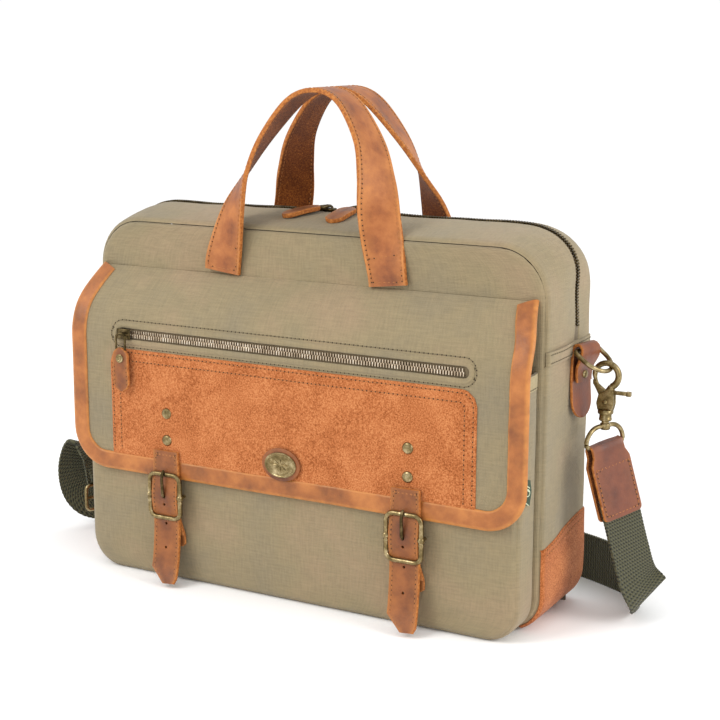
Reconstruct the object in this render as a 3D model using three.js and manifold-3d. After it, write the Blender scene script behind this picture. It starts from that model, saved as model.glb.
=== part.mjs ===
// Laptop satchel of waxed canvas, suede and leather: a zipped main body, a box pocket under a
// buckled flap, two carry handles and a clip-on shoulder strap.
// Millimetres. +X runs along the width, the front faces -Y and +Z is up.
// The origin lies on the ground under the middle of the main body.

import * as THREE from 'three';
import { mergeVertices } from 'three/addons/utils/BufferGeometryUtils.js';
import Module from 'manifold-3d';

// Main body
const bodyWidth = 400;
const bodyDepth = 90;
const panelHeight = 290;
const crownRise = 8;
const topCornerRadius = 40;
const bottomCornerRadius = 28;
const canvasWall = 4;
const seamGap = 0.3;
const mouthHeight = 214;
const mouthOffset = 12;
const zipHalfWidth = 3.5;
const zipThickness = 2.5;
const dividerThickness = 8;
const dividerDepthFromBack = 25;
const dividerHeight = 200;
const suedeThickness = 1.3;
const cornerPatchHeight = 77;
const cornerPatchSweep = 55;

// Front pocket
const pocketWidth = 388;
const pocketDepth = 30;
const pocketHeight = 200;
const pocketWall = 3;
const pocketCornerRadius = 26;

// Flap
const flapWidth = 404;
const flapHingeHeight = 250;
const flapHingeStandOff = 7;
const flapBottom = 88;
const flapBend = 216;
const flapThickness = 3;
const flapClearance = 3;
const flapCornerRadius = 32;
const bindingWidth = 14;
const bindingWrap = 1;
const windowWidth = 318;
const windowHeight = 21;
const windowCentre = 202;
const suedeWidth = 326;
const suedeTop = 190;
const suedeCornerRadius = 12;
const badgeWidth = 28;
const badgeHeight = 20;
const badgeBorder = 3;
const badgeCentre = 114;
const badgePlateThickness = 1.2;
const badgeBackingThickness = 1;

// Buckled straps
const buckleSpacing = 216;
const buckleStrapWidth = 25;
const buckleStrapThickness = 2.5;
const buckleStrapTop = 111;
const buckleStrapBottom = 3;
const buckleStrapPlay = 0.5;
const buckleBar = 3.5;
const buckleWidth = buckleStrapWidth + 2 * (buckleBar + buckleStrapPlay);
const buckleHeight = 40;
const buckleCentre = 74;
const buckleCorner = 6;
const buckleInnerCorner = 2;
const pivotBarRadius = 1.5;
const prongWidth = 3;
const prongTip = 2.4;
const prongPlay = 0.4;
const strapSlotWidth = 5;
const strapSlotHeight = 20;
const chapeWidth = 22;
const chapeEndWidth = 28;
const chapeEndHeight = 14;
const chapeTop = 68;
const chapeBottom = 31;
const chapeThickness = 3;
const snapRadius = 7;
const snapThickness = 1;
const snapCentre = 44;
const rivetRadius = 4.5;
const rivetHeight = 1.6;
const rivetHeights = { upper: 141, lower: 119 };

// Zip sliders and pulls
const sliderLength = 13;
const sliderWidth = 8;
const sliderHeight = 3.5;
const sliderLift = 1.6;
const sliderSpacing = 26;
const topPullLength = 38;
const topPullSplay = 30;
const flapPullLength = 46;
const pullWidth = 13;
const pullThickness = 2.4;
const pullRingLength = 12;
const pullRingWidth = 8;
const pullRingHole = 4;

// Carry handles
const handleSpan = 150;
const handleRise = 138;
const handleWidth = 32;
const handleThickness = 3.5;
const handleFootDrop = 32;
const handleFoot = panelHeight - handleFootDrop;
const handleTopClearance = 3;

// Side tabs, rings, snap hooks
const tabWidth = 26;
const tabThickness = 3;
const tabBottom = 156;
const tabSlotWidth = 8;
const tabSlotHeight = 16;
const ringWire = 4;
const ringLength = tabWidth + 2 * ringWire;
const ringReach = 26;
const ringDrop = 35;
const loopClearance = 0.6;
const hookEyeRadius = 11;
const hookEyeHole = 7.5;
const hookThickness = 5;
const hookNeckWidth = 12;
const hookPivotDrop = 20;
const hookLength = 36;
const hookBarrelWidth = 9;
const triggerLength = 19;
const triggerBar = 3.4;
const swivelWidth = 42;
const swivelHeight = 20;
const swivelWire = 4;

// Shoulder strap
const webbingWidth = 38;
const webbingThickness = 2.2;
const strapEndLength = 54;
const strapEndThickness = 5;
const strapEndShoulder = 12;
const strapEndTurn = 25;
const adjusterLength = 26;
const adjusterWebbingDrop = 34;
const adjusterWebbingTilt = 2 / 19;
const adjusterBar = 3.5;
const groundClearance = 0.5;

// Values worked out from the sizes above
const sideX = bodyWidth / 2;
const frontY = -bodyDepth / 2;
const backY = bodyDepth / 2;
const gussetHalfDepth = bodyDepth / 2 - canvasWall - seamGap;
const crownTop = panelHeight + crownRise;
const pocketFrontY = frontY - pocketDepth;
const flapHingeY = frontY - flapHingeStandOff;
const flapInnerY = pocketFrontY - flapClearance;
const flapOuterY = flapInnerY - flapThickness;
const flapSlope = Math.atan2(flapHingeY - flapInnerY, flapHingeHeight - flapBend);
const flapMitre = Math.tan(flapSlope / 2);
const suedeFaceY = flapOuterY - seamGap - suedeThickness;
const strapBackY = Math.min(suedeFaceY, flapOuterY - bindingWrap) - seamGap;
const strapFaceY = strapBackY - buckleStrapThickness;
const buckleX = buckleSpacing / 2;
const curveSteps = 6;

const wasm = await Module();
wasm.setup();

// Finishes, one new material for each piece

const finishes = {
  canvas: { color: 0x9d906c, roughness: 0.95, metalness: 0 },
  lining: { color: 0x4f4a3c, roughness: 0.95, metalness: 0 },
  suede: { color: 0xc8763f, roughness: 0.95, metalness: 0 },
  leather: { color: 0x9a5631, roughness: 0.55, metalness: 0 },
  darkLeather: { color: 0x6b3826, roughness: 0.5, metalness: 0 },
  webbing: { color: 0x3a3a28, roughness: 0.9, metalness: 0 },
  brass: { color: 0x8f7a48, roughness: 0.35, metalness: 1 },
  zip: { color: 0x6f675a, roughness: 0.4, metalness: 1 },
};

const satchel = new THREE.Group();

function addPart(name, geometry, finish) {
  const mesh = new THREE.Mesh(geometry, new THREE.MeshStandardMaterial(finishes[finish]));
  mesh.name = name;
  satchel.add(mesh);
  return mesh;
}

// Joining and cutting closed solids

function toSolid(geometry) {
  const bare = geometry.clone();
  bare.deleteAttribute('normal');
  bare.deleteAttribute('uv');
  const merged = mergeVertices(bare, 1e-4);
  const vertProperties = new Float32Array(merged.attributes.position.array);
  const triVerts = new Uint32Array(merged.index.array);
  return new wasm.Manifold(new wasm.Mesh({ numProp: 3, vertProperties, triVerts }));
}

function toGeometry(solid) {
  const mesh = solid.getMesh();
  const geometry = new THREE.BufferGeometry();
  geometry.setAttribute('position', new THREE.BufferAttribute(new Float32Array(mesh.vertProperties), 3));
  geometry.setIndex(new THREE.BufferAttribute(new Uint32Array(mesh.triVerts), 1));
  geometry.computeVertexNormals();
  return geometry;
}

function join(...geometries) {
  return toGeometry(geometries.map(toSolid).reduce((whole, piece) => whole.add(piece)));
}

function cut(geometry, ...tools) {
  return toGeometry(tools.map(toSolid).reduce((whole, tool) => whole.subtract(tool), toSolid(geometry)));
}

function common(geometry, other) {
  return toGeometry(toSolid(geometry).intersect(toSolid(other)));
}

const vector = (x, y, z) => new THREE.Vector3(x, y, z);

// Flat outlines

function roundedPanel(halfWidth, bottom, top, bottomRadius, topRadius) {
  const shape = new THREE.Shape();
  shape.moveTo(-halfWidth + bottomRadius, bottom);
  shape.lineTo(halfWidth - bottomRadius, bottom);
  if (bottomRadius > 0) {
    shape.absarc(halfWidth - bottomRadius, bottom + bottomRadius, bottomRadius, -Math.PI / 2, 0, false);
  }
  shape.lineTo(halfWidth, top - topRadius);
  if (topRadius > 0) {
    shape.absarc(halfWidth - topRadius, top - topRadius, topRadius, 0, Math.PI / 2, false);
  }
  shape.lineTo(-halfWidth + topRadius, top);
  if (topRadius > 0) {
    shape.absarc(-halfWidth + topRadius, top - topRadius, topRadius, Math.PI / 2, Math.PI, false);
  }
  if (bottomRadius > 0) {
    shape.lineTo(-halfWidth, bottom + bottomRadius);
    shape.absarc(-halfWidth + bottomRadius, bottom + bottomRadius, bottomRadius, Math.PI, 1.5 * Math.PI, false);
  }
  return shape;
}

// A U-shaped band of even thickness: an arch when the closed end is above the open end.
function uBand(halfWidth, openEnd, closedEnd, radius, thickness) {
  const turn = Math.sign(closedEnd - openEnd);
  const bendZ = closedEnd - turn * radius;
  const bendX = halfWidth - radius;
  const quarter = turn * Math.PI / 2;
  const shape = new THREE.Shape();
  shape.moveTo(-halfWidth, openEnd);
  shape.lineTo(-halfWidth, bendZ);
  shape.absarc(-bendX, bendZ, radius, Math.PI, quarter, turn > 0);
  shape.lineTo(bendX, closedEnd);
  shape.absarc(bendX, bendZ, radius, quarter, 0, turn > 0);
  shape.lineTo(halfWidth, openEnd);
  shape.lineTo(halfWidth - thickness, openEnd);
  shape.lineTo(halfWidth - thickness, bendZ);
  shape.absarc(bendX, bendZ, radius - thickness, 0, quarter, turn < 0);
  shape.lineTo(-bendX, closedEnd - turn * thickness);
  shape.absarc(-bendX, bendZ, radius - thickness, quarter, Math.PI, turn < 0);
  shape.lineTo(-halfWidth + thickness, openEnd);
  return shape;
}

function polygon(points) {
  return new THREE.Shape(points.map(([x, y]) => new THREE.Vector2(x, y)));
}

function ellipse(centreX, centreY, radiusX, radiusY) {
  const shape = new THREE.Shape();
  shape.absellipse(centreX, centreY, radiusX, radiusY, 0, 2 * Math.PI, false, 0);
  return shape;
}

// Extrusions: an XZ outline with a depth along Y, a YZ outline with a length along X

function plateXZ(shape, nearY, farY, segments = curveSteps) {
  const geometry = new THREE.ExtrudeGeometry(shape, {
    depth: farY - nearY,
    bevelEnabled: false,
    curveSegments: segments,
  });
  geometry.rotateX(Math.PI / 2);
  geometry.translate(0, farY, 0);
  return geometry;
}

function barYZ(shape, startX, endX, segments = curveSteps) {
  const geometry = new THREE.ExtrudeGeometry(shape, {
    depth: endX - startX,
    bevelEnabled: false,
    curveSegments: segments,
  });
  geometry.applyMatrix4(new THREE.Matrix4().set(0, 0, 1, startX, 1, 0, 0, 0, 0, 1, 0, 0, 0, 0, 0, 1));
  return geometry;
}

function box(low, high) {
  const geometry = new THREE.BoxGeometry(high[0] - low[0], high[1] - low[1], high[2] - low[2]);
  geometry.translate((low[0] + high[0]) / 2, (low[1] + high[1]) / 2, (low[2] + high[2]) / 2);
  return geometry;
}

function discY(radius, nearY, farY, centreX, centreZ) {
  const geometry = new THREE.CylinderGeometry(radius, radius, farY - nearY, 16);
  geometry.translate(centreX, (nearY + farY) / 2, centreZ);
  return geometry;
}

// A path for a flat strap: each point has its own direction across the strap.
class StrapPath extends THREE.CatmullRomCurve3 {
  constructor(points, acrossDirections) {
    super(points, false, 'centripetal');
    this.acrossDirections = acrossDirections;
  }

  acrossAt(u) {
    const place = this.getUtoTmapping(u) * (this.points.length - 1);
    const index = Math.min(Math.floor(place), this.points.length - 2);
    return this.acrossDirections[index].clone().lerp(this.acrossDirections[index + 1], place - index);
  }

  computeFrenetFrames(segments) {
    const tangents = [];
    const normals = [];
    const binormals = [];
    for (let i = 0; i <= segments; i += 1) {
      const tangent = this.getTangentAt(i / segments).normalize();
      const across = this.acrossAt(i / segments);
      across.addScaledVector(tangent, -across.dot(tangent)).normalize();
      tangents.push(tangent);
      normals.push(across);
      binormals.push(new THREE.Vector3().crossVectors(tangent, across));
    }
    return { tangents, normals, binormals };
  }
}

function strap(path, width, thickness, steps) {
  const section = polygon([
    [-width / 2, -thickness / 2],
    [width / 2, -thickness / 2],
    [width / 2, thickness / 2],
    [-width / 2, thickness / 2],
  ]);
  return new THREE.ExtrudeGeometry(section, { steps, bevelEnabled: false, extrudePath: path });
}

// Main body: panels sewn to a gusset that splits at the zip

function addPanels() {
  const frontPanel = roundedPanel(sideX, 0, panelHeight, bottomCornerRadius, topCornerRadius);
  addPart('front_panel', plateXZ(frontPanel, frontY, frontY + canvasWall), 'canvas');
  const backLower = roundedPanel(sideX, 0, mouthHeight - seamGap, bottomCornerRadius, 0);
  addPart('back_panel_lower', plateXZ(backLower, backY - canvasWall, backY), 'canvas');
  const backUpper = roundedPanel(sideX, mouthHeight + seamGap, panelHeight, 0, topCornerRadius);
  addPart('back_panel_upper', plateXZ(backUpper, backY - canvasWall, backY), 'canvas');
}

function addLowerGusset() {
  const bottomPanel = uBand(sideX, bottomCornerRadius - seamGap, 0, bottomCornerRadius - 2 * seamGap, canvasWall);
  addPart('bottom_panel', plateXZ(bottomPanel, -gussetHalfDepth, gussetHalfDepth), 'canvas');
  const low = [sideX - canvasWall, -gussetHalfDepth, bottomCornerRadius];
  const high = [sideX, gussetHalfDepth, mouthHeight - seamGap];
  addPart('side_gusset_right', box(low, high), 'canvas');
  addPart('side_gusset_left', box([-high[0], low[1], low[2]], [-low[0], high[1], high[2]]), 'canvas');
}

function mouthBand(thickness) {
  return uBand(sideX, mouthHeight + seamGap, crownTop, topCornerRadius + crownRise, thickness);
}

function addMouth() {
  const zipFront = mouthOffset - zipHalfWidth;
  const zipBack = mouthOffset + zipHalfWidth;
  const gusset = mouthBand(canvasWall);
  const chain = mouthBand(zipThickness);
  addPart('mouth_gusset_front', plateXZ(gusset, -gussetHalfDepth, zipFront - seamGap), 'canvas');
  addPart('top_zip_front', plateXZ(chain, zipFront, mouthOffset - seamGap / 2), 'zip');
  addPart('top_zip_rear', plateXZ(chain, mouthOffset + seamGap / 2, zipBack), 'zip');
  addPart('mouth_gusset_rear', plateXZ(gusset, zipBack + seamGap, gussetHalfDepth), 'canvas');
}

function addDivider() {
  const inset = canvasWall + 2 * seamGap;
  const outline = roundedPanel(sideX - inset, inset, dividerHeight, bottomCornerRadius - inset, suedeCornerRadius);
  const farY = backY - dividerDepthFromBack + dividerThickness / 2;
  addPart('laptop_divider', plateXZ(outline, farY - dividerThickness, farY), 'lining');
}

function cornerPatch(side) {
  const inner = bottomCornerRadius + seamGap;
  const outer = inner + suedeThickness;
  const sweep = THREE.MathUtils.degToRad(-cornerPatchSweep);
  const centreX = sideX - bottomCornerRadius;
  const shape = new THREE.Shape();
  shape.moveTo(centreX + outer, cornerPatchHeight);
  shape.lineTo(centreX + inner, cornerPatchHeight);
  shape.lineTo(centreX + inner, bottomCornerRadius);
  shape.absarc(centreX, bottomCornerRadius, inner, 0, sweep, true);
  shape.lineTo(centreX + outer * Math.cos(sweep), bottomCornerRadius + outer * Math.sin(sweep));
  shape.absarc(centreX, bottomCornerRadius, outer, sweep, 0, false);
  const patch = plateXZ(shape, -gussetHalfDepth, gussetHalfDepth);
  if (side < 0) {
    patch.rotateZ(Math.PI);
  }
  return patch;
}

// Front pocket

function addPocket() {
  const panel = roundedPanel(pocketWidth / 2, 0, pocketHeight, pocketCornerRadius, 0);
  addPart('pocket_panel', plateXZ(panel, pocketFrontY, pocketFrontY + pocketWall), 'canvas');
  const gusset = uBand(pocketWidth / 2, pocketHeight, 0, pocketCornerRadius, pocketWall);
  const nearY = pocketFrontY + pocketWall + seamGap;
  addPart('pocket_gusset', plateXZ(gusset, nearY, frontY - seamGap), 'canvas');
}

// Flap: one bent sheet, cut to its parts by outlines seen from the front

function flapPoint(y, z, offset, mitred) {
  return [y - offset, mitred ? z + flapMitre * offset : z];
}

function flapSheet(innerOffset, outerOffset) {
  const profile = polygon([
    flapPoint(flapHingeY, flapHingeHeight, innerOffset, true),
    flapPoint(flapInnerY, flapBend, innerOffset, true),
    flapPoint(flapInnerY, flapBottom, innerOffset, false),
    flapPoint(flapInnerY, flapBottom, outerOffset, false),
    flapPoint(flapInnerY, flapBend, outerOffset, true),
    flapPoint(flapHingeY, flapHingeHeight, outerOffset, true),
  ]);
  return barYZ(profile, -flapWidth / 2, flapWidth / 2);
}

function flapOutline(inset) {
  const top = flapHingeHeight + 10 * flapThickness;
  return roundedPanel(flapWidth / 2 - inset, flapBottom + inset, top, flapCornerRadius - inset, 0);
}

function frontCutter(shape, segments) {
  return plateXZ(shape, flapOuterY - 10 * flapThickness, frontY, segments);
}

function windowOutline(inset) {
  const half = windowHeight / 2 - inset;
  return roundedPanel(windowWidth / 2 - inset, windowCentre - half, windowCentre + half, half, half);
}

function addFlap() {
  const sheet = flapSheet(0, flapThickness);
  const panel = common(sheet, frontCutter(flapOutline(bindingWidth + seamGap)));
  addPart('flap_panel', cut(panel, frontCutter(windowOutline(0))), 'canvas');
  const wrap = common(flapSheet(-bindingWrap, flapThickness + bindingWrap), frontCutter(flapOutline(0)));
  addPart('flap_binding', cut(wrap, frontCutter(flapOutline(bindingWidth))), 'leather');
  const chain = windowOutline(seamGap);
  addPart('flap_zip', plateXZ(chain, flapOuterY, flapOuterY + zipThickness), 'zip');
  const suede = roundedPanel(suedeWidth / 2, flapBottom + bindingWidth + seamGap, suedeTop, 0, suedeCornerRadius);
  addPart('suede_patch', plateXZ(suede, suedeFaceY, suedeFaceY + suedeThickness), 'suede');
}

function addBadge() {
  const backing = ellipse(0, badgeCentre, badgeWidth / 2 + badgeBorder, badgeHeight / 2 + badgeBorder);
  const backingFace = suedeFaceY - seamGap - badgeBackingThickness;
  addPart('badge_backing', plateXZ(backing, backingFace, suedeFaceY - seamGap), 'leather');
  const plate = ellipse(0, badgeCentre, badgeWidth / 2, badgeHeight / 2);
  const plateFace = backingFace - seamGap - badgePlateThickness;
  addPart('badge_plate', plateXZ(plate, plateFace, backingFace - seamGap), 'brass');
}

// Buckled straps: the strap lies over the pivot bar and behind the frame's other bars

const pivotBarY = strapBackY + pivotBarRadius + seamGap;
const frameBackY = strapFaceY - seamGap;
const frameFaceY = frameBackY - buckleBar;

function buckleStrap(x) {
  const half = buckleStrapWidth / 2;
  const tipRise = half;
  const shape = polygon([
    [x - half, buckleStrapTop],
    [x - half, buckleStrapBottom + tipRise],
    [x - half / 3, buckleStrapBottom],
    [x + half, buckleStrapBottom],
    [x + half, buckleStrapTop],
  ]);
  const low = buckleCentre - strapSlotHeight / 2;
  const slot = roundedPanel(strapSlotWidth / 2, low, low + strapSlotHeight, strapSlotWidth / 2, strapSlotWidth / 2);
  const slotCutter = plateXZ(slot, strapFaceY - 1, strapBackY + 1);
  slotCutter.translate(x, 0, 0);
  return cut(plateXZ(shape, strapFaceY, strapBackY), slotCutter);
}

function buckleFrame(x) {
  const halfWidth = buckleWidth / 2;
  const halfHeight = buckleHeight / 2;
  const bottom = buckleCentre - halfHeight;
  const top = buckleCentre + halfHeight;
  const outer = roundedPanel(halfWidth, bottom, top, buckleCorner, buckleCorner);
  const window = roundedPanel(
    halfWidth - buckleBar,
    bottom + buckleBar,
    top - buckleBar,
    buckleInnerCorner,
    buckleInnerCorner,
  );
  outer.holes.push(window);
  const ring = plateXZ(outer, frameFaceY, frameBackY);
  const pivot = new THREE.CylinderGeometry(pivotBarRadius, pivotBarRadius, buckleWidth, 12);
  pivot.rotateZ(Math.PI / 2);
  pivot.translate(0, pivotBarY, buckleCentre);
  const cheeks = [-1, 1].map((side) => {
    const inner = side * (halfWidth - buckleBar);
    const edge = side * halfWidth;
    const low = [Math.min(inner, edge), frameBackY - 0.5, buckleCentre - buckleBar];
    const high = [Math.max(inner, edge), pivotBarY + pivotBarRadius, buckleCentre + buckleBar];
    return box(low, high);
  });
  const frame = join(ring, pivot, ...cheeks);
  frame.translate(x, 0, 0);
  return frame;
}

function buckleProng(x) {
  const boreRadius = pivotBarRadius + prongPlay;
  const eyeRadius = boreRadius + 1.4;
  const top = buckleCentre + buckleHeight / 2;
  const eye = new THREE.Shape();
  eye.absarc(pivotBarY, buckleCentre, eyeRadius, 0, 2 * Math.PI, false);
  const bore = new THREE.Shape();
  bore.absarc(pivotBarY, buckleCentre, boreRadius, 0, 2 * Math.PI, false);
  const arm = polygon([
    [pivotBarY - boreRadius, buckleCentre - 1],
    [frameFaceY - seamGap - prongTip, top - buckleBar],
    [frameFaceY - seamGap - prongTip, top + 1],
    [frameFaceY - seamGap, top + 1],
    [frameFaceY - seamGap, top - buckleBar - 1],
    [pivotBarY - boreRadius, buckleCentre + eyeRadius],
  ]);
  const half = prongWidth / 2;
  const solid = join(barYZ(eye, x - half, x + half), barYZ(arm, x - half, x + half));
  return cut(solid, barYZ(bore, x - prongWidth, x + prongWidth));
}

function chape(x) {
  const half = chapeWidth / 2;
  const endHalf = chapeEndWidth / 2;
  const shoulder = chapeBottom + chapeEndHeight;
  const shape = polygon([
    [x - endHalf, chapeBottom],
    [x + endHalf, chapeBottom],
    [x + endHalf, shoulder - (endHalf - half)],
    [x + half, shoulder],
    [x + half, chapeTop],
    [x - half, chapeTop],
    [x - half, shoulder],
    [x - endHalf, shoulder - (endHalf - half)],
  ]);
  const farY = pocketFrontY - 3 * seamGap - 2 * snapThickness;
  return plateXZ(shape, farY - chapeThickness, farY);
}

function addBuckles() {
  for (const [side, x] of [['left', -buckleX], ['right', buckleX]]) {
    addPart(`buckle_strap_${side}`, buckleStrap(x), 'darkLeather');
    addPart(`buckle_frame_${side}`, buckleFrame(x), 'brass');
    addPart(`buckle_prong_${side}`, buckleProng(x), 'brass');
    addPart(`buckle_chape_${side}`, chape(x), 'darkLeather');
    const socketY = pocketFrontY - seamGap;
    const studY = socketY - snapThickness - seamGap;
    addPart(`snap_socket_${side}`, discY(snapRadius, socketY - snapThickness, socketY, x, snapCentre), 'brass');
    addPart(`snap_stud_${side}`, discY(snapRadius, studY - snapThickness, studY, x, snapCentre), 'brass');
    for (const [level, z] of Object.entries(rivetHeights)) {
      const rivetY = suedeFaceY - seamGap;
      addPart(`rivet_${side}_${level}`, discY(rivetRadius, rivetY - rivetHeight, rivetY, x, z), 'brass');
    }
  }
}

// Zips: a pull lies along +X from its pivot until it is turned into place

function pull(length) {
  const half = pullWidth / 2;
  const shape = new THREE.Shape();
  shape.moveTo(0, -pullRingWidth / 2);
  shape.lineTo(pullRingLength, -pullRingWidth / 2);
  shape.lineTo(pullRingLength, -half);
  shape.lineTo(length - half, -half);
  shape.absarc(length - half, 0, half, -Math.PI / 2, Math.PI / 2, false);
  shape.lineTo(pullRingLength, half);
  shape.lineTo(pullRingLength, pullRingWidth / 2);
  shape.lineTo(0, pullRingWidth / 2);
  const hole = new THREE.Path();
  hole.absarc(pullRingLength / 2, 0, pullRingHole / 2, 0, 2 * Math.PI, true);
  shape.holes.push(hole);
  return new THREE.ExtrudeGeometry(shape, { depth: pullThickness, bevelEnabled: false, curveSegments: 4 });
}

function addTopSliders() {
  const bottom = crownTop + sliderLift;
  const top = bottom + sliderHeight;
  for (const [side, direction] of [['left', -1], ['right', 1]]) {
    const x = direction * sliderSpacing / 2;
    const low = [x - sliderLength / 2, mouthOffset - sliderWidth / 2, bottom];
    const high = [x + sliderLength / 2, mouthOffset + sliderWidth / 2, top];
    addPart(`top_slider_${side}`, box(low, high), 'zip');
    const tab = addPart(`top_pull_${side}`, pull(topPullLength), 'leather');
    tab.position.set(x, mouthOffset - sliderWidth / 4, top + seamGap);
    tab.rotation.z = THREE.MathUtils.degToRad(direction < 0 ? -90 - topPullSplay : -90);
  }
}

function addFlapSlider() {
  const x = -windowWidth / 2 + windowHeight / 2;
  const faceY = flapOuterY - seamGap - sliderHeight;
  const low = [x - sliderLength / 2, faceY, windowCentre - sliderWidth / 2];
  const high = [x + sliderLength / 2, flapOuterY - seamGap, windowCentre + sliderWidth / 2];
  addPart('flap_slider', box(low, high), 'zip');
  const tab = addPart('flap_pull', pull(flapPullLength), 'leather');
  const hanging = new THREE.Matrix4().makeBasis(vector(0, 0, -1), vector(1, 0, 0), vector(0, -1, 0));
  tab.rotation.setFromRotationMatrix(hanging);
  tab.position.set(x, faceY - seamGap, windowCentre);
}

// Carry handles: flat on the panel at the feet, turned flat side up at the top

function handle(side) {
  const footY = side * (bodyDepth / 2 + seamGap + handleThickness / 2 + seamGap);
  const topY = side * (handleWidth / 2 + handleTopClearance / 2);
  // Reach from the middle, height, lean inwards and turn, each as a share of its whole
  const stations = [
    [1, 0, 0, 0],
    [0.91, 0.34, -0.12, 0.1],
    [0.64, 0.7, 0.55, 0.5],
    [0.3, 0.93, 0.92, 0.85],
  ];
  const points = [];
  const across = [];
  const addStation = (reach, height, lean, turn, end) => {
    const x = end * reach * handleSpan / 2;
    const y = footY + (topY - footY) * lean;
    points.push(vector(x, y, handleFoot + height * handleRise));
    const angle = turn * Math.PI / 2;
    across.push(vector(-end * Math.cos(angle), side * Math.sin(angle), 0));
  };
  stations.forEach((station) => addStation(...station, -1));
  addStation(0, 1, 1, 1, 1);
  stations.reverse().forEach((station) => addStation(...station, 1));
  return strap(new StrapPath(points, across), handleWidth, handleThickness, 36);
}

// Side tabs and the rings they hold

const ringBarX = sideX + seamGap + tabThickness + ringWire / 2 + loopClearance;
const ringBarZ = mouthHeight - ringWire / 2 - loopClearance - tabThickness;

function leatherLoop(length) {
  const inner = ringWire / Math.SQRT2 + loopClearance;
  const shape = new THREE.Shape();
  shape.absarc(0, 0, inner + tabThickness, 0, 2 * Math.PI, false);
  const solid = new THREE.ExtrudeGeometry(shape, { depth: length, bevelEnabled: false, curveSegments: 12 });
  solid.translate(0, 0, -length / 2);
  solid.rotateX(Math.PI / 2);
  return solid;
}

function loopBore(length) {
  const bore = new THREE.CylinderGeometry(
    ringWire / Math.SQRT2 + loopClearance,
    ringWire / Math.SQRT2 + loopClearance,
    length * 2,
    16,
  );
  return bore;
}

function tab() {
  const half = tabWidth / 2;
  const tongue = new THREE.Shape();
  tongue.moveTo(-half, ringBarZ);
  tongue.lineTo(-half, tabBottom + half);
  tongue.absarc(0, tabBottom + half, half, Math.PI, 2 * Math.PI, false);
  tongue.lineTo(half, ringBarZ);
  const slotTop = ringBarZ - tabWidth / 2;
  const slot = roundedPanel(tabSlotWidth / 2, slotTop - tabSlotHeight, slotTop, tabSlotWidth / 2, tabSlotWidth / 2);
  tongue.holes.push(slot);
  const plate = plateXZ(tongue, 0, tabThickness);
  plate.rotateZ(-Math.PI / 2);
  plate.translate(sideX + seamGap, 0, 0);
  const loop = leatherLoop(tabWidth);
  loop.translate(ringBarX, 0, ringBarZ);
  const bore = loopBore(tabWidth);
  bore.translate(ringBarX, 0, ringBarZ);
  const inner = box([sideX - tabWidth, -tabWidth, tabBottom], [sideX + seamGap, tabWidth, mouthHeight + tabWidth]);
  return cut(join(plate, loop), bore, inner);
}

function dRing() {
  const half = ringLength / 2;
  const wire = ringWire / 2;
  const outline = (inset, path) => {
    const bow = ringReach - half;
    path.moveTo(-wire + inset, -half + inset);
    path.lineTo(bow, -half + inset);
    path.absarc(bow, 0, half - inset, -Math.PI / 2, Math.PI / 2, false);
    path.lineTo(-wire + inset, half - inset);
    path.closePath();
    return path;
  };
  const shape = outline(0, new THREE.Shape());
  shape.holes.push(outline(ringWire, new THREE.Path()));
  const ring = new THREE.ExtrudeGeometry(shape, { depth: ringWire, bevelEnabled: false, curveSegments: 10 });
  ring.translate(0, 0, -ringWire / 2);
  return ring;
}

// Snap hook, hanging from the ring with its eye in the XZ plane

const ringTilt = THREE.MathUtils.degToRad(ringDrop);
const ringTipReach = ringReach - ringWire / 2;
const hookX = ringBarX + ringTipReach * Math.cos(ringTilt);
const hookEyeZ = ringBarZ - ringTipReach * Math.sin(ringTilt) - (hookEyeHole - ringWire * 0.75);
const hookPivotZ = hookEyeZ - hookPivotDrop;
const hookBottom = hookEyeZ - hookLength;

function hookBody() {
  const eye = ellipse(0, 0, hookEyeRadius, hookEyeRadius);
  const hole = ellipse(0, 0, hookEyeHole, hookEyeHole);
  const half = hookNeckWidth / 2;
  const neck = polygon([
    [-half, -hookLength + hookNeckWidth],
    [half, -hookLength + hookNeckWidth],
    [half + 1, -hookEyeRadius - half],
    [hookEyeHole, -hookEyeHole],
    [-1, -hookEyeHole - 1],
    [-half, -hookEyeRadius - half],
  ]);
  const barrel = box(
    [-hookBarrelWidth / 2, -hookBarrelWidth / 2, -hookLength],
    [hookBarrelWidth / 2, hookBarrelWidth / 2, -hookLength + hookNeckWidth + 1],
  );
  const side = hookThickness / 2;
  const body = join(plateXZ(eye, -side, side, 10), plateXZ(neck, -side, side), barrel);
  const jawGap = polygon([
    [-hookEyeRadius - 2, -2.4],
    [-hookEyeHole + 2, -2.4],
    [0, -hookEyeHole - 0.4],
    [0, -hookEyeRadius - 3],
    [-hookEyeRadius - 2, -hookEyeRadius - 3],
  ]);
  const gateSlot = box(
    [-hookNeckWidth, -1.8, -hookPivotDrop - 5],
    [hookNeckWidth, 1.8, -hookEyeHole + 1.5],
  );
  return cut(body, plateXZ(hole, -hookThickness, hookThickness, 10),
    plateXZ(jawGap, -hookThickness, hookThickness), gateSlot);
}

function hookGate() {
  const jaw = polygon([
    [-hookEyeRadius + 0.6, -4.8],
    [-hookEyeHole - 0.2, -3.8],
    [-3.2, -hookEyeHole - 0.6],
    [2.5, -hookPivotDrop + 5],
    [2.5, -hookPivotDrop - 3],
    [-2.5, -hookPivotDrop - 3],
    [-4.5, -hookPivotDrop + 8],
  ]);
  const lever = box(
    [0, -1.5, -hookPivotDrop + 6],
    [triggerLength, 1.5, -hookPivotDrop + 6 + triggerBar],
  );
  return join(plateXZ(jaw, -1.5, 1.5), lever);
}

function swivel() {
  const half = swivelWidth / 2;
  const outer = roundedPanel(half, -swivelHeight, 0, 2, swivelHeight * 0.6);
  outer.holes.push(roundedPanel(half - swivelWire, -swivelHeight + swivelWire, -swivelWire, 0, swivelHeight * 0.3));
  return plateXZ(outer, -swivelWire / 2, swivelWire / 2);
}

// Leather strap end: a folded tab round the swivel's bar, wide enough for the webbing

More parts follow.
